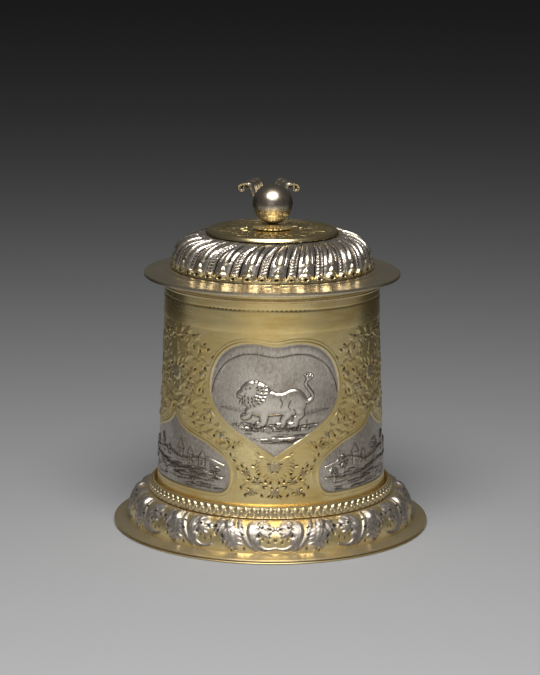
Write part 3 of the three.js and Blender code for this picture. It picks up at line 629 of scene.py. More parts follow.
def fan(relief, at, first, last, count, near, far, bend):
    """Long narrow leaves that spread from one place, with a dark drop between their tips."""
    for k in range(count):
        angle = first + (last - first) * k / max(count - 1, 1)
        middle = beside(at, angle + 0.4 * bend, 0.55 * (near + far))
        tip = beside(at, angle + bend, far)
        line = rounded([beside(at, angle, near), middle, tip], DRAWN_STEP)
        relief.ridge("raised", line, [0.7, 1.9, 1.6, 0.5], 0.5)
        relief.ridge("dark", line, [0.35, 0.25], 0.45)
        if k % 3 == 0:
            tear(relief, beside(at, angle + 1.2 * bend, far + 1.1), angle + bend + math.pi, 2.1)


def bud(relief, at, angle, size):
    """A bell-shaped flower on a short stalk."""
    relief.punch("raised", at, (1.25 * size, 0.8 * size), 0.75, angle, -0.35)
    relief.punch("white", beside(at, angle, 0.1 * size), (0.9 * size, 0.7 * size), 0.9, angle)
    for side in (-0.6, 0.6):
        base = beside(at, angle + math.pi, 0.5 * size)
        tip = beside(base, angle + side, 0.95 * size)
        relief.straight("top", base, tip, [0.5, 0.35, 0.15], 0.3, 0.3)
        tear(relief, beside(at, angle + 2.0 * side, 0.62 * size), angle + math.pi, 0.3 * size)


# %% [markdown]
# The drum's ornament is drawn once, from the middle of a heart to the middle of an arch, and then
# mirrored right round: six reserves, hearts above and arches below in turns, with foliage in all
# the room between them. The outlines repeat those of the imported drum, whose sunk faces they follow.


# %% The outlines of the reserves
RIM_R = 57.45
SIXTH = RIM_R * TAU / 6
BAND_LOW, BAND_TOP = 25, 116


def bezier(p0, p1, p2, p3):
    t = np.linspace(0, 1, 24, endpoint=False)[:, None]
    a, b, c, d = (np.array(p, float) for p in (p0, p1, p2, p3))
    return a * (1 - t) ** 3 + 3 * b * t * (1 - t) ** 2 + 3 * c * t * t * (1 - t) + d * t**3


def both_sides(half):
    """A closed outline from its right half, which starts and ends on the middle line."""
    return np.vstack([half, half[-2:0:-1] * (-1, 1)])


def heart_outline():
    w, top = 34.4, 108.8
    half = np.vstack([
        bezier((0, 107.3), (0.12 * w, 107.3), (0.18 * w, top), (0.36 * w, top)),
        bezier((0.36 * w, top), (0.78 * w, top), (w, top - 11), (w, 84.5)),
        bezier((w, 84.5), (w, 67.5), (0.3 * w, 59), (0, 50)),
        [(0, 50)],
    ])
    return both_sides(half)


def arch_outline():
    w, top = 37.5, 67
    half = np.vstack([
        bezier((0, top), (0.12 * w, top - 9), (0.45 * w, top - 9), (0.66 * w, top - 13)),
        bezier((0.66 * w, top - 13), (0.86 * w, top - 17), (w, 47), (w, 40)),
        bezier((w, 40), (w, 32.6), (0.95 * w, 29.6), (0.78 * w, 29.6)),
        [(0.78 * w, 29.6), (0, 29.6)],
    ])
    return both_sides(half)


def grown(outline, distance):
    """The outline moved outwards by a distance."""
    ahead = np.roll(outline, -1, axis=0) - np.roll(outline, 1, axis=0)
    ahead /= np.maximum(np.hypot(*ahead.T), 1e-9)[:, None]
    (xa, za), (xb, zb) = outline.T, np.roll(outline, -1, axis=0).T
    area = np.sum(xa * zb - xb * za)
    outward = np.stack([ahead[:, 1], -ahead[:, 0]], 1) * np.sign(area)
    return outline + distance * outward


HEART = heart_outline()
ARCH = arch_outline()
print(f"heart {np.ptp(HEART[:, 0]):.1f} mm wide, arch {np.ptp(ARCH[:, 0]):.1f} mm wide")

# %% [markdown]
# The foliage between the reserves: a blossom and two scrolls above each arch, a trail of buds
# down the strip beside each heart, and a bouquet under each heart's point. Everything stays low,
# half a millimetre or so, as on a vessel that is meant to be held.


# %% The drum's foliage, one twelfth
# a blossom is given by its place, width, petals and turn
BLOSSOMS = (
    ((SIXTH, 88.5), 7.4, 8), ((48.8, 82.4), 4.6, 5, 0.4), ((0, 45.0), 5.6, 8),
    ((8.6, 37.2), 3.4, 5, 0.3), ((14.0, 41.4), 3.4, 5, 0.9), ((11.4, 31.4), 3.8, 5, 0.2),
    ((0, 31.4), 4.4, 6, 0.5),
)
# a sprig by its stem's line, the length of its leaves and their spacing
SPRIGS = (
    # over the arch
    ([(SIXTH, 73), (53, 71.5), (46, 75), (43.5, 82), (46.5, 88), (51, 87.5), (51.5, 83)], 7.2, 6.4),
    ([(SIXTH, 108.5), (53, 110), (45, 107.5), (40.5, 102), (42, 96.5), (46, 97)], 6.4, 6.2),
    ([(SIXTH - 2, 92), (53.5, 95), (50.5, 100), (51.5, 105)], 5.4, 5.4),
    ([(38.2, 97), (37.4, 91), (38.4, 84.5)], 4.8, 4.8),
    # in the strip between heart and arch
    ([(48, 66.5), (42.5, 65.5), (37.5, 66.5), (35.5, 72), (37.6, 78)], 6.0, 5.6),
    ([(43, 61.6), (37, 59.8), (31.5, 58.2), (28.4, 61.5), (29.4, 66)], 5.4, 5.6),
    ([(30, 55.6), (25, 52.6), (20.6, 53.6), (17.4, 57.6)], 4.6, 4.8),
    # in the bouquet under the heart
    ([(1.6, 34.6), (5.4, 33.4), (8.6, 32.4)], 3.4, 3.6),
    ([(10.2, 38.6), (13.0, 37.0), (15.6, 34.0)], 3.2, 3.6),
)
# a single leaf by its line, width, height and side lobes
SINGLE_LEAVES = (
    ([(SIXTH, 92.5), (SIXTH, 98), (SIXTH, 105)], 4.6, 0.34, 3),
    ([(SIXTH, 76.5), (57.4, 80.5), (56.6, 84.6)], 3.6),
    ([(21.2, 46), (19.0, 41), (19.6, 35)], 3.0),
)
# a bud by its place, angle and size
BUDS = (((40.2, 90.0), 1.9, 3.2), ((32.6, 71.4), 1.2, 4.0), ((27.0, 59.4), 2.2, 3.6))
# the loose drops of the punch, x, z and angle, by their size
DROPS = {
    2.0: ((36.6, 104, 2.4), (39, 106.5, 2.6), (20.6, 47.5, 0.6), (18.6, 43.2, 0.9)),
    2.1: ((33.6, 100.6, 2.2), (37.8, 93.6, 1.2), (39.6, 81.6, 1.2), (50.6, 89.0, 1.2),
          (45.2, 92.4, 2.6), (34.4, 67.4, 1.3), (45.6, 69.0, 1.8), (24.0, 57.0, 0.8),
          (52.4, 110.4, 0.2), (46.4, 104.4, 1.0), (22.6, 50.4, 1.4)),
    2.2: ((4.6, 37.4, 1.4), (2.8, 29.4, 2.4), (6.4, 29.8, 1.2), (14.6, 29.8, 1.7),
          (16.8, 33.6, 1.5), (16.6, 45.0, 1.0), (5.6, 34.2, 1.0)),
}


def drum_foliage():
    half = Relief(0, SIXTH, BAND_LOW, BAND_TOP)
    for mark, given in ((blossom, BLOSSOMS), (sprig, SPRIGS), (leaf, SINGLE_LEAVES), (bud, BUDS)):
        for values in given:
            mark(half, *values)
    for size, drops in DROPS.items():
        for x, z, angle in drops:
            tear(half, (x, z), angle, size)
    # the bouquet's long leaves, to the side and downwards
    fan(half, (0, 45.0), 1.0, -0.35, 7, 3.4, 9.6, -0.25)
    fan(half, (0, 45.0), -0.65, -1.5, 4, 3.4, 7.6, 0.15)
    return half


def all_round(half):
    """The half pattern mirrored to the full round, from behind the handle to behind it."""
    drum = Relief(-3 * SIXTH, 3 * SIXTH, BAND_LOW, BAND_TOP)
    x = np.abs((drum.across + SIXTH) % (2 * SIXTH) - SIXTH)
    x, z = np.meshgrid(x, drum.up)
    for name in half.sheets:
        drum.sheets[name] = half.at(name, x, z).astype(np.float32)
    return drum


drum_relief = all_round(drum_foliage())
print("drum's relief:", drum_relief.sheets["raised"].shape, "cells")

# %% [markdown]
# The reserves are bare, white silver. The front one holds a lion that walks to the left, one paw
# raised, the oldest of the figures that silversmiths take from heraldry, under a plain ribbon.
# Its body is raised in rounded parts that are beaten flat on top, the locks of its mane lie in
# three rows, a thin dark outline sets it off, and the ground under it is cut in lines. The arches
# and the hearts behind hold hills with towers and trees, drawn mostly with the graver.


# %% Pictures for the reserves
def strokes(relief, centre, lines, width=0.45, depth=0.28, dark=0.55):
    for points in lines:
        moved = [(centre + x, z) for x, z in points]
        relief.curve("cut", moved, [width, 0.6 * width], depth)
        relief.curve("dark", moved, [1.1 * width, 0.7 * width], dark)


LION_SCALE = 0.74
LION_FOOT = 76.9


def lion(relief, c):
    def spot(x, z):
        return c + LION_SCALE * x, LION_FOOT + LION_SCALE * (z - LION_FOOT)

    def part(points, widths, height):
        line = [spot(x, z) for x, z in points]
        relief.curve("raised", line, [0.88 * width for width in widths], 0.88 * height)
        relief.curve("white", line, [0.95 * width for width in widths], 1.2)

    part([(-9, 79.6), (-2, 78.2), (6, 78.2), (12.5, 79.2)], [15.5, 13.4, 12.2, 15.0], 2.3)
    part([(13.6, 78), (17.2, 71.5), (14.2, 67.6), (13.6, 64.2), (10.2, 63)], [11.5, 6.2, 4.2, 3.7, 3.7], 2.1)
    part([(8.4, 75), (8.4, 70.6), (5.8, 67.4), (5.0, 63.8), (2.0, 62.9)], [8, 5.2, 3.8, 3.2, 3.2], 1.3)
    part([(-7.4, 76), (-7.6, 70), (-8.2, 64.8), (-11.6, 63.4)], [8.8, 5.6, 4.1, 3.7], 1.9)
    part([(-11.4, 77), (-17.2, 73.4), (-18.4, 69.8), (-21.4, 68.6)], [8.0, 5.4, 4.0, 3.6], 2.0)
    part([(-12.5, 83.2), (-10.6, 78.5)], [16.5, 15], 2.6)
    part([(-16.2, 87.8), (-18.2, 86.8)], [10.2, 9.2], 3.5)
    part([(-21.4, 85.2), (-23.6, 84.2)], [5.8, 4.6], 3.1)
    part([(-13.4, 92.4), (-12.6, 93.2)], [3.0, 1.8], 3.2)
    tail = [(18.5, 81.5), (23, 79.5), (26.2, 83.2), (23.6, 88), (21.2, 92), (23.4, 96)]
    part(tail, [2.6, 1.8, 1.6, 1.6], 1.1)
    for k, lean in enumerate((-0.7, -0.2, 0.35, 0.9)):
        part([(23, 95), beside((23.0, 95.0), 1.3 + lean, 4.2)], [1.8, 0.7], 1.0 + 0.1 * k)
    rng = np.random.default_rng(7)
    # the mane's locks, in three rows round the face
    for row, count in ((5.6, 9), (8.2, 13), (10.8, 16)):
        for k in range(count):
            lean = -2.35 + 3.9 * k / (count - 1) + rng.uniform(-0.06, 0.06)
            x, z = -17.0 + row * math.cos(lean), 87.3 + row * math.sin(lean)
            if z > 91.5 or x < -19 and z < 78:
                continue
            relief.punch("cut", spot(x, z), (2.3, 0.8), 0.4, lean + 0.35, 0.4)
            relief.punch("dark", spot(x, z), (1.9, 0.6), 0.8, lean + 0.35, 0.4)
            relief.punch("top", spot(x + 0.8, z + 0.8), (2.2, 1.2), 0.3, lean + 0.35)
    for x, z in ((-20.2, 88.6), (-17.2, 89.4)):
        relief.punch("cut", spot(x, z), (0.9, 0.6), 0.5)
        relief.punch("dark", spot(x, z), (1.0, 0.7), 0.9)
    folds = (
        [(-25.0, 84.8), (-22.8, 83.2), (-20.4, 83.6)],
        [(3.5, 82.2), (4.8, 79), (3.6, 75.6)],
        [(10.4, 80.6), (9.0, 76.8), (10.6, 73.2)],
        [(12.6, 74.5), (13.8, 72), (13.4, 69.5)],
        [(-22.2, 69.6), (-21.6, 68.0)],
        [(-12.8, 63.8), (-12.4, 62)],
        [(9.4, 63.6), (9.8, 61.6)],
    )
    strokes(relief, 0, [[spot(x, z) for x, z in fold] for fold in folds], 0.5, 0.35, 0.6)
    # its round forms are beaten flat on top, as low relief is
    raised = relief.sheets["raised"]
    here = np.abs(relief.across - c) < 27
    mound = raised[:, here]
    raised[:, here] = np.where(mound > 0, 1.2 * (1 - np.exp(-mound / 1.1)), mound)
    # a thin dark outline sets the figure off
    figure = (relief.sheets["white"][:, here] > 0.25).astype(np.float32)
    rim = np.clip(softened(figure, 4) * 3.0, 0, 1) * (1 - figure)
    for name, depth in (("dark", 0.75), ("cut", 0.15)):
        sheet = relief.sheets[name]
        sheet[:, here] = np.maximum(sheet[:, here], depth * rim)
    # the ground under its feet
    for k in range(80):
        z = rng.uniform(57, 67.5)
        room = 5.5 + 1.55 * (z - 55)
        x = rng.uniform(-room, room)
        length = rng.uniform(2, 6.5)
        line = [(c + x, z), (c + x + 0.5 * length, z + rng.uniform(-0.3, 0.4)), (c + x + length, z)]
        strokes(relief, 0, [line], rng.uniform(0.35, 0.8), dark=rng.uniform(0.3, 0.85))
    for k in range(30):
        x, z = rng.uniform(-19, 19), rng.uniform(63.5, 66.5)
        blade = (c + x + rng.uniform(-1.2, 1.2), z + rng.uniform(1.2, 2.8))
        relief.curve("raised", [(c + x, z), blade], [0.9, 0.3], 0.55)
        relief.punch("dark", (c + x + 0.5, z), (1.5, 0.7), 0.8, 1.3)
    banks = ([(-21, 65.4), (-10, 64.2), (2, 65), (12, 64), (22, 65.8)], [(-12, 59.4), (-3, 58.6), (10, 59.6)])
    for line in banks:
        relief.curve("raised", [(c + x, z) for x, z in line], [0.8, 2.4, 1.0], 0.36)
    for k in range(7):
        left = [(c - 28 + 2.3 * k, 75 - 0.4 * k), (c - 22 + 2.0 * k, 76 - 0.4 * k)]
        right = [(c + 28 - 2 * k, 74 - 0.4 * k), (c + 22 - 2 * k, 75 - 0.4 * k)]
        strokes(relief, 0, [left, right], 0.4, 0.18, dark=0.45)


def ribbon(relief, c):
    """A bare ribbon that follows the heart's two lobes."""
    first, last = 1, len(HEART) // 2 - 22
    rim_line, low_line = grown(HEART, -0.6)[first:last], grown(HEART, -5.2)[first:last]
    shares = ramp(np.linspace(0, 1, len(low_line)) - 0.6, 0.4)[:, None] ** 1.6
    inner_line = low_line * (1 - shares) + rim_line * shares
    middle_line = grown(HEART, -2.9)[first : last - 4]
    for side in (-1, 1):
        inner = [(c + side * x, z) for x, z in inner_line]
        middle = [(c + side * x, z) for x, z in middle_line]
        relief.ridge("raised", evenly(middle, 0.5), [4.8, 4.8, 3.6], 0.16)
        relief.ridge("cut", evenly(inner, 0.25), [0.45], 0.25)
        relief.ridge("dark", evenly(inner, 0.25), [0.35, 0.6], 0.6)
        for k in range(5):
            x, z = beside(middle[-1], -1.57 + side * 0.2, -1.0 * k)
            relief.straight("cut", (x - 1.7, z + 1.2), (x + 1.7, z + 0.6), [0.3], 0.2)
        # the short strokes that shade the ribbon's lower edge
        low, high = evenly(inner, 1.15), evenly(middle, 1.15)
        for k in range(2, min(len(low), len(high)) - 2):
            share = 0.3 + 0.25 * (k % 3)
            stroke_end = low[k] + (high[k] - low[k]) * share
            relief.straight("dark", low[k], stroke_end, [0.35, 0.2], 0.35, 0.3)


def tower(relief, x, z, width, height, roof):
    """A round tower with a pointed roof, a string course and two windows."""
    half, eaves, top = 0.5 * width, 0.7 * width, z + height
    for line in np.arange(z, top, 0.4):
        relief.punch("raised", (x, line), (width, 1.2), 0.75)
    for step in np.linspace(0, 1, int(roof / 0.3)):
        wide = 1.3 * width * (1 - step) + 0.3
        relief.punch("raised", (x, top + roof * step), (wide, 0.9), 0.8)
    for side in (-1, 1):
        relief.straight("dark", (x + side * half, z), (x + side * half, top), [0.5], 0.8)
        relief.straight("dark", (x + side * eaves, top), (x, top + roof), [0.5], 0.8)
    relief.straight("dark", (x - eaves, top), (x + eaves, top), [0.45], 0.7)
    for share in (0.35, 0.72):
        for sheet, depth in (("dark", 0.95), ("cut", 0.4)):
            relief.punch(sheet, (x, z + share * height), (1.1, 0.7), depth, math.pi / 2)
    for share in np.arange(0.1, 1.0, 0.14):
        course = z + share * height
        relief.straight("cut", (x + 0.1 * width, course), (x + half, course), [0.25], 0.2)
        relief.straight("dark", (x + 0.15 * width, course), (x + half, course), [0.28], 0.4)


def tree(relief, x, z, height, rng):
    trunk = [(x, z), (x + 0.5, z + 0.3 * height), (x, z + 0.6 * height)]
    shade = [(x + 0.7, z), (x + 1.1, z + 0.3 * height), (x + 0.5, z + 0.5 * height)]
    relief.curve("raised", trunk, [1.6, 0.9], 0.7)
    relief.curve("dark", shade, [0.6, 0.4], 0.7)
    for _ in range(int(5 * height)):
        angle, reach = rng.uniform(0, TAU), math.sqrt(rng.uniform(0, 1))
        px = x + 0.34 * height * reach * math.cos(angle)
        pz = z + 0.72 * height + 0.3 * height * reach * math.sin(angle)
        relief.punch("raised", (px, pz), (1.5, 1.3), rng.uniform(0.4, 0.9))
        relief.punch("dark", (px + 0.5, pz - 0.5), (1.1, 0.45), rng.uniform(0.4, 0.9), -0.5)


def ground(relief, c, rng, low, high, width, count):
    for _ in range(count):
        x = rng.uniform(-width, width)
        z = rng.uniform(low, high)
        length = rng.uniform(2.0, 6.5)
        rise = rng.uniform(-0.6, 0.8)
        line = [(x, z), (x + 0.5 * length, z + 0.5 * rise + 0.25), (x + length, z + rise)]
        strokes(relief, c, [line], rng.uniform(0.35, 0.75), dark=rng.uniform(0.35, 0.8))


def landscape(seed, hills, towers, trees, earth):
    """A picture of hills, towers and trees; their x is counted from the reserve's middle."""

    def draw(relief, c):
        rng = np.random.default_rng(seed)
        for points in hills:
            relief.curve("raised", [(c + x, z) for x, z in points], [1.4, 2.6, 1.4], 0.7)
            strokes(relief, c, [[(x, z + 0.7) for x, z in points]], 0.4)
        for x, *sizes in towers:
            tower(relief, c + x, *sizes)
        for x, z, height in trees:
            tree(relief, c + x, z, height, rng)
        ground(relief, c, rng, *earth)

    return draw


arch_left = landscape(
    21,
    ([(-34, 46), (-22, 44), (-8, 46), (8, 44), (24, 46.5), (34, 44)],
     [(-33, 38), (-18, 40.5), (2, 38), (18, 40), (33, 37)]),
    ((6, 43, 4.2, 6.0, 5.0), (13.5, 43, 3.4, 4.0, 3.8), (21.5, 42, 4.0, 4.2, 3.6),
     (-14, 43, 4.4, 5.5, 4.6), (-5, 43, 2.8, 3.0, 2.8)),
    ((29, 37, 8), (16, 33.5, 7), (-24, 41, 8), (-29, 36, 8)),
    (30.5, 41, 30, 120),
)
arch_right = landscape(
    33,
    ([(-34, 43), (-20, 46.5), (-6, 43), (10, 46), (34, 44)],
     [(-34, 37), (-12, 36.5), (6, 40), (33, 38)]),
    ((-15, 42, 4.6, 6.5, 4.2), (-8.5, 42, 3.2, 4.0, 3.2), (16, 43, 4.6, 7, 4),
     (23, 42, 3.2, 3.6, 3.0)),
    ((-24, 37, 11), (-29.5, 34, 8), (3, 40, 12), (29, 39, 8)),
    (30.5, 40.5, 30, 120),
)


def heart_back(seed, high_tower, low_tower, tall_tree, short_tree):
    """The picture of a heart beside the handle, with the places of its towers and trees."""
    hills = ([(-29, 72), (-15, 76), (0, 72.5), (14, 75), (29, 71)],
             [(-24, 66), (-8, 68.5), (10, 65), (24, 67.5)])
    towers = ((high_tower, 73.5, 5.6, 9, 6), (low_tower, 73.5, 4, 5, 4))
    trees = ((tall_tree, 67, 22), (short_tree, 72, 12))
    return landscape(seed, hills, towers, trees, (56.5, 70, 14, 90))


# %% Placing the reserves
def add_reserve(relief, outline, c, picture):
    """Sinks a reserve, lines its edge and draws its picture; c is its middle, in mm round."""

    def within(distance):
        return relief.inside(grown(outline, distance) + (c, 0))

    cleared = within(2.4)
    fade = 1 - softened(within(3.2).astype(np.float32), 6)
    for sheet in relief.sheets.values():
        sheet *= fade
        sheet[cleared] = 0
    picture(relief, c)
    beyond = cleared & ~within(-0.4)
    for name in ("raised", "top", "cut", "dark"):
        relief.sheets[name][beyond] = 0
    for distance, width, height in ((0.8, 1.6, 0.22), (2.4, 0.6, 0.14)):
        edge = grown(outline, distance) + (c, 0)
        relief.ridge("raised", evenly(np.vstack([edge, edge[:1]]), 0.3), [width], height)
    return within(0)


reserved = np.zeros(drum_relief.sheets["raised"].shape, bool)
PICTURES = (
    (HEART, 0, lambda r, c: (lion(r, c), ribbon(r, c))),
    (HEART, 2 * SIXTH, heart_back(5, 8, 15, -12, -21)),
    (HEART, -2 * SIXTH, heart_back(8, -9, -2, 13, 22)),
    (ARCH, SIXTH, arch_right),
    (ARCH, -SIXTH, arch_left),
)
for outline, place, picture in PICTURES:
    reserved |= add_reserve(drum_relief, outline, place, picture)
print(f"reserves cover {100 * reserved.mean():.0f} % of the chased band")

# %% [markdown]
# The drum is one raised sheet, open at the top. Its outer face needs a very fine net for the
# chasing, more than one mesh should hold, so it is made as three thirds that meet edge to edge.
# Their joints are at the back and in the middle of the two arches.

# %% The drum's section
BASE_R = 61.9
BASE_Z, RIM_Z = 18.4, 136.4
WALL = 1.6
WORKED_LOW, WORKED_TOP = 25.2, 115.4
DOTS_Z = 126.25
SUNK_MM = 0.12
THIRD_SIDES = 342


def drum_radius(z):
    t = ramp(RIM_Z - z, RIM_Z - BASE_Z)
    return RIM_R + (BASE_R - RIM_R) * t**1.7


plain_low = np.arange(DRUM_LOW, WORKED_LOW, 1.2)
chased_rows = np.linspace(25.6, 114.8, 246)
plain_high = [116, 119, 122, 125, 125.8, 126.1, 126.4, 126.7, 127.4, 129, 132, 134.4, 135.8]
outer_z = np.concatenate([plain_low, chased_rows, plain_high])
DRUM_OUTER = [(float(drum_radius(z)), float(z)) for z in outer_z]
DRUM_RIM = [(RIM_R - 0.15, 136.2), (RIM_R - 0.5, DRUM_TOP), (RIM_R - 1.2, DRUM_TOP), (RIM_R - 1.55, 136.1)]
inner_z = np.linspace(135.4, DRUM_LOW + 0.4, 9)
DRUM_INNER = [(float(drum_radius(z)) - WALL, float(z)) for z in inner_z] + [(BASE_R - 1.2, DRUM_LOW)]

# one old brown stain in the gilding, under the front heart's right side
drum_relief.punch("dark", (25.0, 55.4), (4.6, 3.2), 0.4, -0.6)
drum_relief.punch("dark", (24.8, 55.6), (2.6, 2.0), 0.9, -0.6)
sheets = drum_relief.sheets
sunk = softened(reserved.astype(np.float32), 2)
face = softened(1.1 * sheets["raised"] + sheets["top"] - 1.1 * sheets["cut"] - SUNK_MM * sunk, 1)
grime_and_shade = grime_of(face + SUNK_MM * sunk, 0.95 * sheets["dark"], 4, 3.0)
worn_high = softened(np.clip(sheets["white"], 0, 1), 2) * sunk
sheets["face"] = face
sheets["grime_and_shade"] = grime_and_shade + 0.02 * sunk - 0.25 * worn_high * (grime_and_shade < 0.3)
sheets["gilt"] = 1 - np.maximum(sunk, 0.75 * np.clip(sheets["white"] * 1.6, 0, 1))


# %% The drum's three thirds
def drum_lines(z):
    """A faint turned step and the dotted line above the chased band."""
    dots = -0.14 * np.exp(-((z - DOTS_Z) / 0.32) ** 2)
    return dots + 0.16 * ramp(z - 114.6, 0.7) * ramp(118.5 - z, 2.5)


def drum_third(name, first):
    profile = DRUM_OUTER + DRUM_RIM + DRUM_INNER
    piece = turned(name, profile + profile[:1], THIRD_SIDES, (first, first + TAU / 3))
    turn, row, _, on_face = places(piece, DRUM_OUTER)
    z = outer_z[row]
    x = RIM_R * turn
    band = ramp(z - WORKED_LOW, 1.2) * ramp(WORKED_TOP - z, 1.2)
    heights = drum_relief.at("face", x, z) * band + drum_lines(z)
    lift(piece, DRUM_OUTER, turn, row, on_face, heights)
    worn_off = np.clip(1.3 * np.sin(x * 0.11 + 1.2) * np.sin(x * 0.043 + 0.6) + 0.35, 0, 0.8)
    dashes = worn_off * (np.abs(z - DOTS_Z) < 0.45) * (np.sin(x * 2.6) > -0.1)
    grime_and_shade = np.where(on_face, drum_relief.at("grime_and_shade", x, z) * band + dashes, 0.12)
    carry(piece, "grime_and_shade", grime_and_shade)
    carry(piece, "gilding", np.where(on_face, drum_relief.at("gilt", x, z), 1.0))
    # the two open ends are closed
    only(piece)
    edit_points("DESELECT")
    bpy.ops.mesh.select_non_manifold(extend=False)
    bpy.ops.mesh.fill(use_beauty=True)
    leave_points()
    return piece


chased_metal = metal("chased parcel gilt", "gilding", "grime_and_shade", 0.27, 1.5, film=0.12)
thirds = []
for number in range(3):
    third = drum_third(f"drum_third_{number + 1}", -TAU / 2 + number * TAU / 3)
    finished(third, chased_metal, "vessel", "drum")
    thirds.append(third)


# %% [markdown]
# Where two thirds meet, each would shade its edge by its own faces only, and a fine line would
# show. So the points of both edges get one shared direction: the mean of the two, without its
# part that points round the body.

# %% One shading across the joints
def joint_normals(pieces):
    gathered = {}
    edges = []
    for piece in pieces:
        where = points_of(piece)
        normals = np.empty(3 * len(where), np.float32)
        piece.data.vertices.foreach_get("normal", normals)
        normals = normals.reshape(-1, 3).astype(float)
        turn = np.arctan2(where[:, 0], -(where[:, 1] - AXIS_MM))
        joints = np.flatnonzero(np.abs(turn % (TAU / 3) - TAU / 6) < 1e-5)
        keys = [tuple(np.round(where[i], 2)) for i in joints]
        edges.append((piece, joints, keys, turn))
        for i, key in zip(joints, keys):
            gathered[key] = gathered.get(key, 0) + normals[i]
    for piece, joints, keys, turn in edges:
        wanted = np.zeros((len(turn), 3))
        for i, key in zip(joints, keys):
            round_body = np.array([math.cos(turn[i]), math.sin(turn[i]), 0.0])
            mean = gathered[key] - round_body * (gathered[key] @ round_body)
            wanted[i] = mean / max(np.linalg.norm(mean), 1e-9)
        piece.data.normals_split_custom_set_from_vertices([tuple(n) for n in wanted])
        print(piece.name, "points on its joints:", len(joints))


joint_normals(thirds)

# %% [markdown]
# Inside, the drum has a soldered floor. The lip wire is a half-round band under the rim, and the
# foot wire is the ring that the whole tankard stands on. They are plain turned pieces.

# %% Floor and wires
plain_gilt = metal("plain gilding", 0.7, 0.0, 0.24, film=0.04)
worn_gilt = metal("worn gilding", 1.0, 0.06, 0.3, 1.3)
polished_silver = metal("polished silver", 0.1, 0.2, 0.24, film=0.06)


def turned_piece(name, profile, finish, body, node, sides=192):
    """A whole plain piece; a profile that doesn't start on the axis is closed."""
    closing = profile[:1] if profile[0][0] > 0 else []
    finished(turned(name, profile + closing, sides), finish, body, node)


floor_r, low_floor, high_floor = round_size("drum_floor")
turned_piece(
    "vessel_floor",
    [(0, low_floor), (floor_r - 0.3, low_floor), (floor_r, low_floor + 0.3),
     (floor_r, high_floor - 0.3), (floor_r - 0.5, high_floor), (floor_r - 6, high_floor),
     (30, high_floor - 0.2), (8, high_floor - 0.1), (0, high_floor - 0.1)],
    worn_gilt, "vessel", "drum_floor",
)
lip_r, lip_low, lip_high = round_size("lip_wire")
seat = lip_r - 0.8
half_round = []
for share in np.linspace(0, 1, 13):
    height = lip_low + (lip_high - lip_low) * share
    half_round.append((seat + 0.8 * math.sin(math.pi * share), height))
turned_piece("lip_moulding", half_round, plain_gilt, "vessel", "lip_wire")
wire = [(WIRE_R - 2.6, 0.05), (WIRE_R - 0.8, 0), (WIRE_R - 0.2, 0.2), (WIRE_R, 0.55),
        (WIRE_R - 0.2, 0.9), (WIRE_R - 0.8, WIRE_TOP), (WIRE_R - 2.6, WIRE_TOP)]
turned_piece("foot_ring", wire, worn_gilt, "vessel", "foot_wire")

# %% [markdown]
# The foot is raised from one disc: a flat flange, a step and a round dome. Its dome is chased in
# high relief with white acanthus scrolls on a gilt ground. Each scroll curls over at its head near
# the drum and runs out in feathered tips. There are fourteen units, mirrored at the front, so that
# on the left they turn one way and on the right the other.


# %% The foot's acanthus
FOOT_MEAN = 72.5
FOOT_UNITS = 14
FOOT_PERIOD = FOOT_MEAN * TAU / FOOT_UNITS
FOOT_SIDES = 1020
DOME_INNER_R, DOME_WIDE = 66.4, 10.6
DOME_LOW, DOME_HIGH = 3.2, 14.9


def acanthus(relief, points, widths, height, side=1, lobes=0, start=0.0):
    """A thick curling leaf with pointed lobes along one side."""
    line = rounded(points, DRAWN_STEP)
    relief.ridge("raised", line, widths, height)
    relief.ridge("white", line, [w + 0.9 for w in widths], 1.0)
    relief.ridge("cut", line[4:-3], [0.5, 0.35], 0.35)
    relief.ridge("dark", line[4:-3], [0.35, 0.2], 0.4)
    broad = spread(widths, np.linspace(0, 1, len(line)))
    for share in (-0.3, -0.16, 0.16, 0.3):
        fold = []
        for i in range(3, len(line) - 3):
            fold.append(beside(line[i], direction(line, i) + math.pi / 2, share * broad[i]))
        fold = evenly(fold, 0.3)
        relief.ridge("cut", fold, [0.3], 0.14)
        relief.ridge("dark", fold, [0.3, 0.2], 0.3)
    for k in range(lobes):
        share = start + (0.96 - start) * k / lobes
        i = int(share * (len(line) - 1))
        angle = direction(line, i) + side * 0.95
        size = 0.75 * float(spread(widths, share)) + 1.6
        middle, near, far = (beside(line[i], angle, part * size) for part in (0.55, 0.1, 1.0))
        relief.punch("raised", middle, (1.25 * size, 0.62 * size), 0.85 * height, angle, 0.5)
        relief.punch("white", middle, (1.45 * size, 0.85 * size), 1.0, angle, 0.4)
        relief.straight("cut", near, far, [0.4, 0.3], 0.22)
        relief.straight("dark", near, far, [0.3, 0.2], 0.3)
        if k % 2 == 0:
            tear(relief, beside(line[i], angle + side * 0.5, 1.12 * size), angle, 1.9)


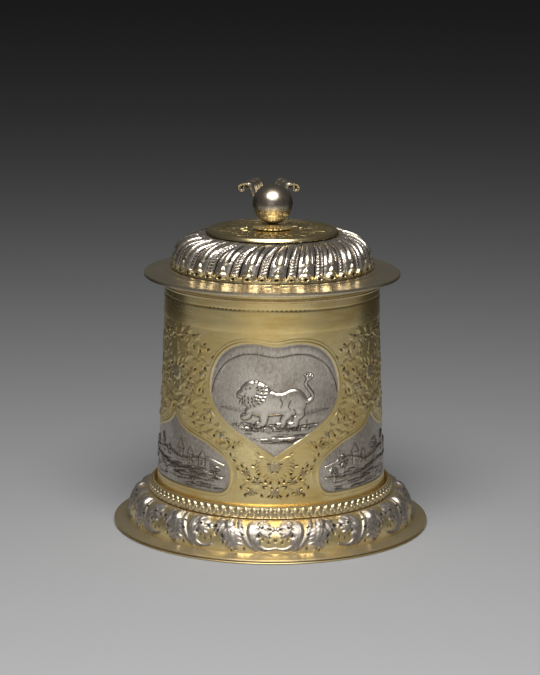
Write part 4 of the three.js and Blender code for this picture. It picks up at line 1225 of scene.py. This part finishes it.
def foot_unit(relief, x):
    def at(*points):
        return [(x + px, pz) for px, pz in points]

    def swelling(px, pz, long, wide, height, angle=0.0):
        relief.punch("top", (x + px, pz), (long, wide), height, angle)
        relief.punch("white", (x + px, pz), (long + 1.2, wide + 1.2), 1.0, angle)

    # the round scroll, open towards the front, with its curled head
    scroll = at((-1, 3.4), (2.6, 2.2), (6.2, 2.3), (9.8, 5.0), (12.0, 11), (11.4, 16.2), (8.8, 18.8),
                (5.2, 19.2))
    acanthus(relief, scroll, [0.4, 1.4, 2.8, 4.0, 4.6, 4.4, 3.8, 2.4], 0.85, 1, 4, 0.35)
    swelling(5.8, 15.2, 6.6, 5.2, 0.75, 0.3)
    acanthus(relief, at((7.4, 13.2), (6.0, 10.4), (3.2, 8.8)), [3.2, 2.6, 1.0], 0.8, -1, 2, 0.3)
    swelling(1.6, 13.0, 3.0, 2.4, 0.5, 0.8)
    # the stem that passes under the scroll
    stem = at((19.9, 20.6), (18.6, 15.6), (16.7, 10.2), (13.4, 4.8), (9.0, 1.3))
    acanthus(relief, stem, [2.2, 2.4, 2.4, 2.0, 1.0], 0.8)
    # the leaf that hangs from it
    leaf_line = at((22.0, 20.4), (23.8, 16.4), (22.8, 10.8), (20.6, 5.6), (19.2, 1.8))
    for side in (-1, 1):
        acanthus(relief, leaf_line, [3.0, 5.8, 5.6, 4.2, 1.2], 1.05, side, 4, 0.42)
    swelling(23.8, 15.6, 6.2, 5.6, 0.7, 1.2)
    acanthus(relief, at((25.0, 17.4), (27.6, 14.4), (28.6, 10.0)), [3.6, 3.4, 1.2], 0.9, 1, 3, 0.3)
    swelling(29.6, 18.0, 3.2, 2.6, 0.5)
    for drop in at((15.4, 2.6), (21.6, 1.2), (26.6, 8.4), (30.2, 9.0), (31.0, 13.4), (8.2, 9.2),
                   (3.4, 6.0), (0.4, 7.0)):
        tear(relief, drop, 1.3, 2.1)


def foot_profile():
    edge = [(84.7, 1.45), (FOOT_R - 0.05, 1.7), (84.9, 2.0), (84.3, 2.2)]
    flange = [(83.4, 2.22), (82.8, 2.12), (80.5, 2.45), (78.8, 2.85), (78.2, 3.05), (77.75, 3.3)]
    dome = []
    for s in np.linspace(0, 1, 72):
        angle = s * math.pi / 2
        radius = DOME_INNER_R + DOME_WIDE * math.cos(angle) ** 0.86
        dome.append((radius, DOME_LOW + DOME_HIGH * math.sin(angle) ** 0.92))
    dome = evenly(dome, 0.33)
    ledge = [(65.6, 18.1), (60, 18.1), (56, 18.1)]
    outer = [*edge, *flange, *map(tuple, dome), *ledge]
    inner = [(55.9, 17.4), (56.2, 16.9), (66.0, 16.9), (70.5, 15.6), (73.6, 12.2), (75.4, 7),
             (75.8, 1.7), (80, 1.5)]
    return outer, inner, len(edge) + len(flange), len(dome)


foot_outer, foot_inner, dome_first, dome_rows = foot_profile()
foot_along = lengths(foot_outer)
dome_start = foot_along[dome_first]
dome_length = foot_along[dome_first + dome_rows - 1] - dome_start
foot_relief = Relief(-2, FOOT_PERIOD + 2, -1, dome_length + 2)
for place in (-1, 0, 1):
    foot_unit(foot_relief, place * FOOT_PERIOD)
sheets = foot_relief.sheets
sheets["face"] = softened(sheets["raised"] + sheets["top"] - sheets["cut"], 3)
sheets["grime_and_shade"] = grime_of(sheets["face"], 0.9 * sheets["dark"], 5, 1.1)
sheets["grime_and_shade"] += 0.16 * np.clip(sheets["white"], 0, 1)
sheets["gilt"] = 0.85 * (1 - np.clip(1.8 * softened(sheets["white"], 2) - 0.2, 0, 1))

foot, turn, row, along, on_face = chased("chased_foot", foot_outer, foot_inner, FOOT_SIDES)
x = np.abs(FOOT_MEAN * turn) % FOOT_PERIOD
up_dome = along - dome_start
fade = ramp(up_dome, 1.2) * ramp(dome_length - 0.6 - up_dome, 1.6)
on_dome = on_face & (fade > 0)
lift(foot, foot_outer, turn, row, on_dome, foot_relief.at("face", x, up_dome) * fade)
carry(foot, "grime_and_shade", np.where(on_dome, foot_relief.at("grime_and_shade", x, up_dome) * fade, 0.05))
carry(foot, "gilding", np.where(on_dome, foot_relief.at("gilt", x, up_dome), 0.62))
foot_metal = metal("foot silver and gilding", "gilding", "grime_and_shade", 0.34, film=0.17, gilt_film=0.05)
finished(foot, foot_metal, "vessel", "foot")


# %% [markdown]
# The collar hides the seam of drum and foot. Pointed teeth rise from its lower band, with a
# round-headed drop between each two of them, and a plain band closes it above. One turned ring is
# pressed into these forms by moving its points inwards.

# %% The collar
TEETH = 94
collar_outer = on_curve(
    [(65.2, COLLAR_LOW), (65.85, 18.9), (65.95, 20.2), (65.75, 21.6), (65.3, 22.9), (64.7, 24.0),
     (64.0, 24.55), (63.3, 24.3), (62.9, 23.2)], 0.36)
collar_inner = [(62.9, 20), (62.9, COLLAR_LOW)]
collar, turn, row, along, on_face = chased("bead_collar_ring", collar_outer, collar_inner, TEETH * 14)
phase = (turn * TEETH / TAU + 0.5) % 1 - 0.5
radius, height = np.array(collar_outer)[row].T
# half of a tooth's width at each height, as a share of its unit
slim = np.clip(0.5 - 0.5 * (along - 1.1) / 3.1, 0.001, 0.5)
tooth = np.clip(1 - (phase / slim) ** 2, 0, 1) ** 0.6 * (slim > 0.03)
from_drop = 0.5 - np.abs(phase)
head = np.sqrt(np.clip(1 - ramp(along - 4.4, 1.9) ** 2, 0.01, 1))
drop_wide = np.clip(0.5 - slim, 0.001, 0.4) * head
drop = np.clip(1 - (from_drop / drop_wide) ** 2, 0, 1) ** 0.6 * (along > 1.5) * (along < 6.3)
band = ramp(1.3 - along, 0.4) + ramp(along - 6.6, 0.6)
face = np.clip(np.maximum(np.maximum(tooth, drop), band), 0, 1)
lift(collar, collar_outer, turn, row, on_face, 0.75 * (face - 1))
# the inner side turns in against the drum: it is fully gilt there, and darkened a little as painted shade.
# The hollows between teeth and drops hold grime.
inner_side = ramp(64.4 - radius, 0.5) * (height > 22)
carry(collar, "grime_and_shade", np.clip(1.5 * (0.35 - face) + 0.12 * inner_side, 0, 0.6) * on_face)
carry(collar, "gilding", np.where(on_face, 0.62 + 0.38 * inner_side, 1.0))
collar_metal = metal("bead gilding", "gilding", "grime_and_shade", 0.3, film=0.1)
finished(collar, collar_metal, "vessel", "bead_collar", 60)


# %% [markdown]
# The cover's flange is turned thin, with a rounded edge and a small step where the ring stands.
# Its gilding is pale, worn through by many hands. The bezel under it is the band that keeps the
# cover in place on the rim.

# %% Flange and bezel
flange_profile = [
    (66.95, FLANGE_LOW), (67.9, FLANGE_LOW), (68.3, 135.5), (FLANGE_R, 136.1), (68.25, 136.9),
    (67.7, 137.3), (66.9, 137.28), (66.3, 137.22), (62, 137.85), (58.2, 138.3), (57.6, 138.28),
    (57.1, 138.55), (56.4, 138.95), (55.6, FLANGE_TOP), (53.1, FLANGE_TOP), (52.8, 138.8),
    (52.8, 137.0), (53.2, 136.75), (60, 136.7), (66.8, 136.7),
]
pale_gilt = metal("pale worn gilding", 0.36, 0.0, 0.29, film=0.035)
turned_piece("cover_flange", flange_profile, pale_gilt, "cover", "lid_flange", sides=256)
bezel_profile = [
    (BEZEL_R - 1.1, 136.35), (BEZEL_R - 0.2, 136.4), (BEZEL_R, 136.1), (BEZEL_R, 132.3),
    (BEZEL_R - 0.3, 131.7), (BEZEL_R - 0.8, BEZEL_LOW), (BEZEL_R - 1.1, 131.8),
]
turned_piece("cover_bezel", bezel_profile, worn_gilt, "cover", "lid_bezel")

# %% [markdown]
# The gadrooned ring is the cover's showpiece. Broad lobes, each with a long raised drop in it,
# take turns with narrow flutes that hold a row of beads. All of them lean as they climb. At their
# feet stands a row of gilt bosses, large and small, each pierced by a dark dot, and a small gilt
# leaf stands over each large one. One unit is drawn and repeated twenty-two times.

# %% The gadrooned ring
LOBES = 22
BOSS_MM = 1.9
LEAN = math.radians(6)
RING_MEAN = 50.0
UNIT = RING_MEAN * TAU / LOBES
ring_outer = on_curve(
    [(53.6, RING_LOW), (54.3, 139.8), (RING_R, 140.6), (54.2, 142.2), (53.7, 144.2), (53.1, 146.4),
     (52.4, 148.6), (51.2, 151.0), (49.4, 153.2), (46.6, 155.2), (43.0, 156.5), (39.6, 157.1),
     (36.2, 157.35), (33, 157.55), (30, RING_TOP)], 0.42)
ring_inner = [(30.1, 156.5), (39, 155.6), (45, 153.6), (49, 150), (51, 145), (52.2, 140)]
unit = Relief(-UNIT / 2, UNIT / 2, -1, 44, 0.12)
edge = UNIT / 2
# the broad lobe, with its drop standing free in a groove
unit.curve("raised", [(0, 4.4), (0, 9), (0, 14), (0, 20), (0, 33)], [8.6, 9.2, 9.2, 9.0, 8.2], 1.0)
unit.curve("top", [(0.3, 11.2), (0.2, 12.6), (0, 16), (0, 21), (0, 26)], [3.6, 3.8, 3.0, 2.0, 0.7], 1.0)
# what follows is on both sides of the unit: first lines, then marks
drop_edge = [(2.2, 14.5), (1.5, 20), (0.6, 26)]
lobe_edge = [(4.6, 4), (4.7, 12), (4.7, 22), (4.6, 34)]
fine_line = [(3.6, 7), (3.7, 14), (3.6, 24), (3.2, 34)]
side_lines = (
    ("cut", [(2.35, 11.6), *drop_edge], [0.8, 0.6], 0.5),
    ("dark", [(2.2, 11), *drop_edge], [0.9, 0.6], 0.75),
    ("cut", lobe_edge, [0.7, 0.6], 0.5),
    ("dark", lobe_edge, [0.95, 0.7], 0.9),
    ("cut", fine_line, [0.4, 0.3], 0.2),
    ("dark", fine_line, [0.3, 0.25], 0.35),
    ("raised", [(edge - 1.9, 4.4), (edge - 1.9, 33)], [0.7, 0.6], 0.75),
)
side_marks = [
    # the small boss
    ("raised", (edge, 3.1), (4.9, 4.4), 1.8),
    ("top", (edge, 4.4), (3.4, 1.5), 0.45),
    ("dark", (edge, 2.7), (2.1, 1.8), 1.2),
    ("cut", (edge, 2.7), (2.0, 1.7), 0.9),
    ("dark", (4.0, 1.2), (1.7, 2.6), 0.9),
]
# the row of slanting beads
for k in range(13):
    side_marks.append(("raised", (edge, 6.2 + 1.7 * k), (2.8, 1.15), 0.65, 0.35))
    side_marks.append(("dark", (edge, 7.05 + 1.7 * k), (2.6, 0.6), 0.85, 0.35))
for side in (-1, 1):
    for sheet, points, widths, height in side_lines:
        unit.curve(sheet, [(side * x, z) for x, z in points], widths, height)
    for sheet, (x, z), *mark in side_marks:
        unit.punch(sheet, (side * x, z), *mark)
# the large boss and the small leaf over it
for mark in (
    ("raised", (0, 3.2), (7.0, 5.4), 2.0),
    ("top", (0, 4.8), (5.2, 1.7), 0.55),
    ("dark", (0, 2.8), (2.4, 2.0), 1.2),
    ("cut", (0, 2.8), (2.3, 1.9), 1.0),
    ("raised", (0, 6.9), (4.6, 3.2), 2.1, math.pi / 2, 0.8),
    ("white", (0, 6.2), (4.6, 3.6), 1.2, math.pi / 2, 0.8),
):
    unit.punch(*mark)
unit.curve("dark", [(-2.6, 5.6), (-1.2, 6.6), (0, 8.2), (1.2, 6.6), (2.6, 5.6)], [0.4, 0.4], 0.5)
sheets = unit.sheets
sheets["face"] = softened(sheets["raised"] + sheets["top"] - sheets["cut"], 2)
sheets["grime_and_shade"] = grime_of(sheets["face"], 1.05 * sheets["dark"], 10, 1.4) - 0.03

ring, turn, row, along, on_face = chased("gadrooned_cover_ring", ring_outer, ring_inner, LOBES * 40)
climb = along / along.max()
lean = LEAN * climb + 2 * LEAN * climb**3
x = ((turn - lean) * RING_MEAN + UNIT / 2) % UNIT - UNIT / 2
fade = ramp(along, 0.8) * ramp(33 - along, 9)
lift(ring, ring_outer, turn, row, on_face, (unit.at("face", x, along) - BOSS_MM) * fade)
carry(ring, "grime_and_shade", np.where(on_face, unit.at("grime_and_shade", x, along) * fade, 0.1))
gilt_leaf = np.clip(unit.at("white", x, along), 0, 1)
gilt_feet = np.maximum(0.75 * ramp(5.6 - along, 1.8), 0.6 * gilt_leaf)
drop_top = ramp(16 - along, 4) * (along > 8)
gilt_drop = 0.3 * np.clip(unit.at("top", x, along), 0, 1) * drop_top
carry(ring, "gilding", np.maximum(gilt_feet, gilt_drop) * on_face)
ring_metal = metal("ring silver", "gilding", "grime_and_shade", 0.25, film=0.08)
finished(ring, ring_metal, "cover", "gadrooned_ring")

# %% [markdown]
# On the ring lies a gilt disc with a bright moulded rim and a sunk field. The field carries a low
# rosette of nine units: long leaves that turn like a whirl, with small bosses between their tips.

# %% The disc and its rosette
disc_outer = on_curve(
    [(DISC_R - 0.1, DISC_LOW), (DISC_R, 157.8), (DISC_R - 0.2, 158.4), (DISC_R - 0.6, 159.1),
     (DISC_R - 1.2, 159.7), (DISC_R - 2.2, 160.08), (DISC_R - 3.6, 159.95), (DISC_R - 4.6, 159.3),
     (DISC_R - 5.4, 158.95), (26, 158.95), (20, 159.05), (13, 159.3), (11, 159.6), (2.1, 159.8)], 0.4)
disc_inner = [(2.1, 158.3), (31.2, 158.1), (30.5, DISC_LOW)]
LEAVES = 9
DISC_MEAN = 22.0
LEAF_UNIT = DISC_MEAN * TAU / LEAVES
rosette = Relief(-LEAF_UNIT / 2, LEAF_UNIT / 2, 0, 36, 0.12)
leaf(rosette, [(3.4, 22.5), (0.8, 16), (-1.2, 8.6)], 6.6, 1.0, 4)
leaf(rosette, [(-4.6, 22), (-6.2, 17), (-6.6, 12)], 3.2, 0.8, 2)
rosette.punch("raised", (-4.8, 9.2), (2.6, 2.2), 0.9)
rosette.punch("raised", (5.0, 7.8), (2.2, 2.0), 0.9)
rosette.punch("raised", (5.6, 13.6), (2.4, 1.6), 0.8, 1.3)
for spot, angle in (((2.9, 9.4), 1.2), ((-3.2, 13.2), 1.6), ((4.4, 17.2), 1.4), ((-1.8, 6.9), 1.0)):
    tear(rosette, spot, angle, 1.7)
sheets = rosette.sheets
sheets["face"] = 0.8 * softened(sheets["raised"] + sheets["top"] - 0.8 * sheets["cut"], 3)
sheets["grime_and_shade"] = grime_of(sheets["face"], 0.7 * sheets["dark"], 10, 2.0)
sheets["grime_and_shade"] += 0.55 * (sheets["raised"] < 0.1)
disc, turn, row, along, on_face = chased("cover_disc", disc_outer, disc_inner, 540)
x = (turn * DISC_MEAN + LEAF_UNIT / 2) % LEAF_UNIT - LEAF_UNIT / 2
fade = ramp(along - 6.4, 0.8) * ramp(25 - along, 2.5)
lift(disc, disc_outer, turn, row, on_face, np.minimum(rosette.at("face", x, along), 1.1) * fade)
carry(disc, "grime_and_shade", np.where(on_face, rosette.at("grime_and_shade", x, along) * fade, 0.05))
carry(disc, "gilding", np.where(along < 6, 0.75, 0.9))
disc_metal = metal("disc gilding", "gilding", "grime_and_shade", 0.24, film=0.015)
finished(disc, disc_metal, "cover", "lid_disc")

# %% [markdown]
# The finial is a polished silver ball on a small spreading boss. The ball is turned, not a ready
# sphere, because it has a flat filed under it and a hole for the stud.

# %% Boss and ball
boss_profile = [
    (BOSS_R - 0.2, BOSS_LOW), (BOSS_R, 160.65), (BOSS_R - 0.1, 161.0), (9.9, 161.25), (8.9, 161.3),
    (8.2, 161.5), (7.0, 162.0), (6.0, BOSS_TOP), (2.1, BOSS_TOP), (2.1, BOSS_LOW),
]
boss_outer = list(map(tuple, evenly(boss_profile[:8], 0.3)))
boss, turn, row, along, on_face = chased("finial_boss_leaf", boss_outer, boss_profile[8:], 240)
flute = np.abs(np.sin(turn * 10)) ** 0.6
fade = ramp(along, 0.5) * ramp(4.6 - along, 1.5)
lift(boss, boss_outer, turn, row, on_face, (flute - 1) * 0.5 * fade)
carry(boss, "grime_and_shade", np.clip((1 - flute) * 0.8, 0, 1) * on_face)
carry(boss, "gilding", np.ones(len(turn)))
finished(boss, collar_metal, "cover", "finial_boss")

ball_centre = BALL_TOP - BALL_R
flat = 0.3 * BALL_R
start = math.asin(flat / BALL_R)
angles = np.linspace(start, math.pi, 72)
round_face = [(BALL_R * math.sin(a), ball_centre - BALL_R * math.cos(a)) for a in angles]
round_face[-1] = (0.0, BALL_TOP)
bore = [(0, BALL_LOW + 6.3), (2.02, BALL_LOW + 6.3), (2.02, BALL_LOW), (flat - 0.2, BALL_LOW)]
ball_silver = metal("ball silver", 0.12, 0.22, 0.19, film=0.045)
turned_piece(
    "finial_ball_turned", bore + round_face, ball_silver, "cover", "finial_ball", 144
)


# %% [markdown]
# The thumbpiece and the handle are bars that follow a curve, and their section changes on the way.
# A flat grid is added and its rows are laid round the curve, one row to a station. The grid's two
# long edges meet, so merging doubles closes the bar, and its ends are then filled.

# %% Bars along a curve
def bar(name, stations, section):
    """stations: (y, z, heading, width, thickness); section: (across, out) shares."""
    across, along = len(section), len(stations) - 1
    grid_add = bpy.ops.mesh.primitive_grid_add
    piece = added(grid_add, name, x_subdivisions=across, y_subdivisions=along)
    outline = np.array(section + section[:1])
    rows = []
    for y, z, heading, width, thickness in stations:
        out = outline[:, 1] * thickness
        back, up = y - math.sin(heading) * out, z + math.cos(heading) * out
        rows.append(np.stack([outline[:, 0] * width, back, up], 1))
    set_points(piece, np.concatenate(rows))
    closed(piece, 0.004)
    edit_points("DESELECT")
    bpy.ops.mesh.select_non_manifold(extend=False)
    bpy.ops.mesh.edge_face_add()
    leave_points()
    return closed(piece, 0.004)


def stations_along(points, widths, thicknesses, step):
    line = rounded(points, step)
    share = np.linspace(0, 1, len(line))
    wide, thick = spread(widths, share), spread(thicknesses, share)
    return [(p[0], p[1], direction(line, i), wide[i], thick[i]) for i, p in enumerate(line)]


# %% [markdown]
# The handle is a cast and chased S-scroll: broad under the thumb, narrow at its curled tail. A row
# of beads that shrink downwards runs along its back, the pattern that is called a rat-tail.

# %% The handle
handle_points = [
    (78.4, 129.0), (86.4, 129.0), (96.8, 121.0), (104.0, 101.67), (100.03, 74.33), (83.97, 56.11),
    (71.25, 50.02), (68.23, 42.97), (71.63, 35.03), (78.18, 34.4), (80.83, 39.44), (76.67, 41.96),
    (74.78, 39.19),
]
handle_line = [(y + AXIS_MM, z) for y, z in handle_points]
section = []
for angle in np.linspace(0, TAU, 28, endpoint=False):
    across, out = 0.5 * math.cos(angle), 0.5 * math.sin(angle)
    narrow = 1 - 0.12 * abs(math.sin(angle))
    section.append((across * narrow, out * (0.86 if out < 0 else 1.0)))
handle_widths = [14.9, 14.0, 12.8, 11.8, 10.8, 9.9, 9.0, 9.0, 9.0]
handle_thick = [7.7, 7.6, 7.3, 6.8, 6.0, 5.0, 4.0, 3.4, 3.1]
grip = bar("scroll_handle", stations_along(handle_line, handle_widths, handle_thick, 0.9), section)
finished(grip, worn_gilt, "vessel", "handle", 50)

BACK_STEP = 0.25
FIRST_BEAD, LAST_BEAD, BACK_LENGTH = 16.0, 96.0, 110
BEAD_MM, BEAD_SPACING = 3.1, 1.28
back_line = stations_along(handle_line, handle_widths, handle_thick, BACK_STEP)
one_bead = added(bpy.ops.mesh.primitive_ico_sphere_add, "bead", subdivisions=2, radius=0.5)
edit_points()
bpy.ops.transform.resize(value=(1.15, 1, 1))
leave_points()
row_of_beads = []
at = FIRST_BEAD
while at < LAST_BEAD:
    y, z, heading, width, thickness = back_line[int(at / BACK_STEP)]
    size = BEAD_MM * (1 - 0.6 * at / BACK_LENGTH)
    out = 0.5 * thickness - 0.39 * size
    bead = copy_of(one_bead)
    bead.scale = (size * MM,) * 3
    bead.location = (0, (y - math.sin(heading) * out) * MM, (z + math.cos(heading) * out) * MM)
    row_of_beads.append(bead)
    at += BEAD_SPACING * size
only(one_bead)
bpy.ops.object.delete()
finished(joined(row_of_beads, "handle_beads"), plain_gilt, "vessel", None, 60)

# %% [markdown]
# The thumbpiece is two fluted straps of silver that rise side by side, part like a lyre and roll
# over at their ends. One is made and mirrored.

# %% The thumbpiece
CURL_X, CURL_Z = 11.9, 173.6
PLINTH_MM = (8.2, 8.8, 4.8)
strap_section = []
for across in np.linspace(-0.5, 0.5, 17):
    flutes = 0.16 * abs(math.sin(3 * math.pi * (across + 0.5)))
    strap_section.append((across, 0.28 + flutes))
strap_section += [(0.5, -0.3), (0.42, -0.42), (0, -0.44), (-0.42, -0.42), (-0.5, -0.3)]
thumb_y = 66.4 + AXIS_MM
base, thumb_top = (corner.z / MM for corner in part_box("thumbpiece"))
curl = []
for k in range(11):
    angle = 0.38 * math.pi - k * 0.17 * math.pi
    reach = 2.0 - 0.12 * k
    curl.append((CURL_X + reach * math.cos(angle), CURL_Z + reach * math.sin(angle)))
lyre = [(1.9, base + 0.6), (2.1, base + 6), (2.8, base + 13), (4.0, base + 21), (5.6, base + 28.5),
        (7.3, base + 33.2), (9.4, 175.9)] + curl
strap_widths = [5.6, 6.4, 7.4, 7.7, 7.7, 7.6, 7.4]
strap_thick = [2.8, 2.6, 2.5, 2.4, 2.2, 1.8, 1.4]
strap = bar("thumb_strap", stations_along(lyre, strap_widths, strap_thick, 0.45), strap_section)
where = points_of(strap)
where = np.stack([where[:, 1], thumb_y - where[:, 0], where[:, 2]], 1)
# the strap's front edge turns outwards and its back edge rises, so its flutes face the front
upper = ramp(where[:, 2] - 150, 22)
where[:, 0] -= 0.8 * (where[:, 1] - thumb_y) * upper
where[:, 2] += 0.3 * (where[:, 1] - thumb_y) * upper
where[:, 2] = np.minimum(where[:, 2], thumb_top)
set_points(strap, where)
other = copy_of(strap)
edit_points()
bpy.ops.transform.resize(value=(-1, 1, 1), center_override=(0, 0, 0))
bpy.ops.mesh.flip_normals()
leave_points()
middle = (0, thumb_y * MM, (base + 2.4) * MM)
plinth = added(bpy.ops.mesh.primitive_cube_add, "thumb_plinth", size=MM, location=middle)
plinth.scale = PLINTH_MM
bpy.ops.object.transform_apply()
edit_points()
bpy.ops.mesh.bevel(offset=1.0 * MM, segments=4, affect="EDGES")
leave_points()
thumb = joined((strap, other, plinth), "thumb_volutes")
edit_points()
bpy.ops.mesh.normals_make_consistent(inside=False)
leave_points()
thumb_silver = metal("thumbpiece silver", 0.15, 0.18, 0.25, film=0.03)
finished(thumb, thumb_silver, "cover", "thumbpiece", 50)

# %% [markdown]
# The hinge, the stud with its nut and the bracket are right as they were packed, so they stay and
# only get their metals.

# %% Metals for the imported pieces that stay
def dress(node, finish):
    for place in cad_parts[node].material_slots:
        place.material = finish


for node in ("hinge_block", "hinge_strap", "handle_bracket"):
    dress(node, worn_gilt)
for node in ("hinge_pin", "finial_stud", "finial_nut"):
    dress(node, polished_silver)

# %% [markdown]
# The camera stands where the photographer's did: more than a metre away with a long lens, a
# little above the tankard and a little to its left. Its place was worked out from the ellipses of
# foot, rim and cover.

# %% Camera
AWAY, ABOVE = 1.19515, 0.3489
LEFT_DEGREES, DOWN_DEGREES = 2.0, 11.737
ASIDE_DEGREES, ROLL_DEGREES = 0.045, 0.4
camera_data = bpy.data.cameras.new("camera")
camera_data.lens = 121.3
camera_data.sensor_width = 36
camera = bpy.data.objects.new("camera", camera_data)
bpy.context.scene.collection.objects.link(camera)
azimuth = math.radians(-LEFT_DEGREES)
camera.location = (AWAY * math.sin(azimuth), AXIS_Y - AWAY * math.cos(azimuth), ABOVE)
heading = azimuth + math.radians(ASIDE_DEGREES)
pitch = math.radians(DOWN_DEGREES)
ahead = Vector((-math.sin(heading), math.cos(heading), 0)) * math.cos(pitch)
ahead.z = -math.sin(pitch)
roll = Quaternion((0, 0, 1), math.radians(ROLL_DEGREES))
camera.rotation_mode = "QUATERNION"
camera.rotation_quaternion = ahead.to_track_quat("-Z", "Y") @ roll
bpy.context.scene.camera = camera
print("camera at", tuple(round(v, 3) for v in camera.location))

# %% [markdown]
# Metal shows its surroundings, so the studio matters as much as the lamps. One large soft lamp
# hangs above the camera and a weak one stands in front, at the left. The grey floor is painted
# lighter near the tankard and darker behind, a painted pool of light, and in front it has a bright
# field that the camera doesn't see. Two black flags stand beside the tankard, and only its
# polished metal mirrors them.

# %% Floor, lamps and room
FLOOR_WIDE = 14
FIELD_HALF_WIDE, FIELD_HALF_LONG, FIELD_Y = 0.33, 0.3, -0.66
FIELD_SHARPNESS = 400
FLAG_X, FLAG_Y, FLAG_Z = 0.3, 0.33, 0.13
floor = added(bpy.ops.mesh.primitive_plane_add, "studio_floor", size=FLOOR_WIDE)
paper = Finish("studio paper")
spot = paper.place()
back = paper.node("ShaderNodeSeparateXYZ", {}, {"Vector": spot}, output="Y")
aside = paper.node("ShaderNodeSeparateXYZ", {}, {"Vector": spot}, output="X")
# the floor's colour is lighter near the tankard and darker behind: a painted pool of light
near = paper.node("ShaderNodeMapRange", {}, {"Value": back, "From Min": 4.6, "From Max": -0.3})
tone = paper.blend(near, colour(91, 91, 92), colour(133, 133, 134))
tone = paper.blend(near ** 7.0, tone, colour(165, 165, 166))
# the bright field, which mirrors see and the camera doesn't
seen = paper.node("ShaderNodeLightPath", {}, {}, output="Is Camera Ray")
field = 1 - seen
for from_middle, half in ((aside, FIELD_HALF_WIDE), (back - FIELD_Y, FIELD_HALF_LONG)):
    distance = paper.node("ShaderNodeMath", {"operation": "ABSOLUTE"}, {0: from_middle})
    field = field * ((half - distance) * FIELD_SHARPNESS).clipped()
tone = paper.blend(field, tone, colour(228, 227, 224))
paper.set(Base_Color=tone, Roughness=0.9)
floor.data.materials.append(paper.material)
black = Finish("black flag")
black.set(Base_Color=colour(20, 20, 20), Roughness=0.8)
for name, x in (("black_flag_left", -FLAG_X), ("black_flag_right", FLAG_X)):
    upright = {"location": (x, FLAG_Y, FLAG_Z), "rotation": (0, math.pi / 2, 0)}
    flag = added(bpy.ops.mesh.primitive_plane_add, name, size=1, **upright)
    flag.scale = (0.24, 0.6, 1)
    bpy.ops.object.transform_apply()
    flag.data.materials.append(black.material)
    flag.visible_camera = False
    flag.visible_shadow = False
    flag.visible_diffuse = False


def softbox(name, place, size, power):
    data = bpy.data.lights.new(name, "AREA")
    data.shape = "ELLIPSE"
    data.size, data.size_y = size
    data.energy = power
    lamp = bpy.data.objects.new(name, data)
    bpy.context.scene.collection.objects.link(lamp)
    lamp.location = place
    lamp.rotation_mode = "QUATERNION"
    lamp.rotation_quaternion = (MIDDLE - Vector(place)).to_track_quat("-Z", "Y")


MIDDLE = Vector((0, AXIS_Y, 0.1))
softbox("key", (-0.04, -0.6, 1.05), (1.0, 0.84), 18)
softbox("front", (-0.5, -2.2, 0.5), (1.6, 0.9), 1.3)
room = bpy.data.worlds.new("room")
bpy.context.scene.world = room
room.use_nodes = True
room.node_tree.nodes["Background"].inputs["Color"].default_value = (0.05, 0.05, 0.051, 1)
bpy.context.scene.view_settings.view_transform = "Standard"
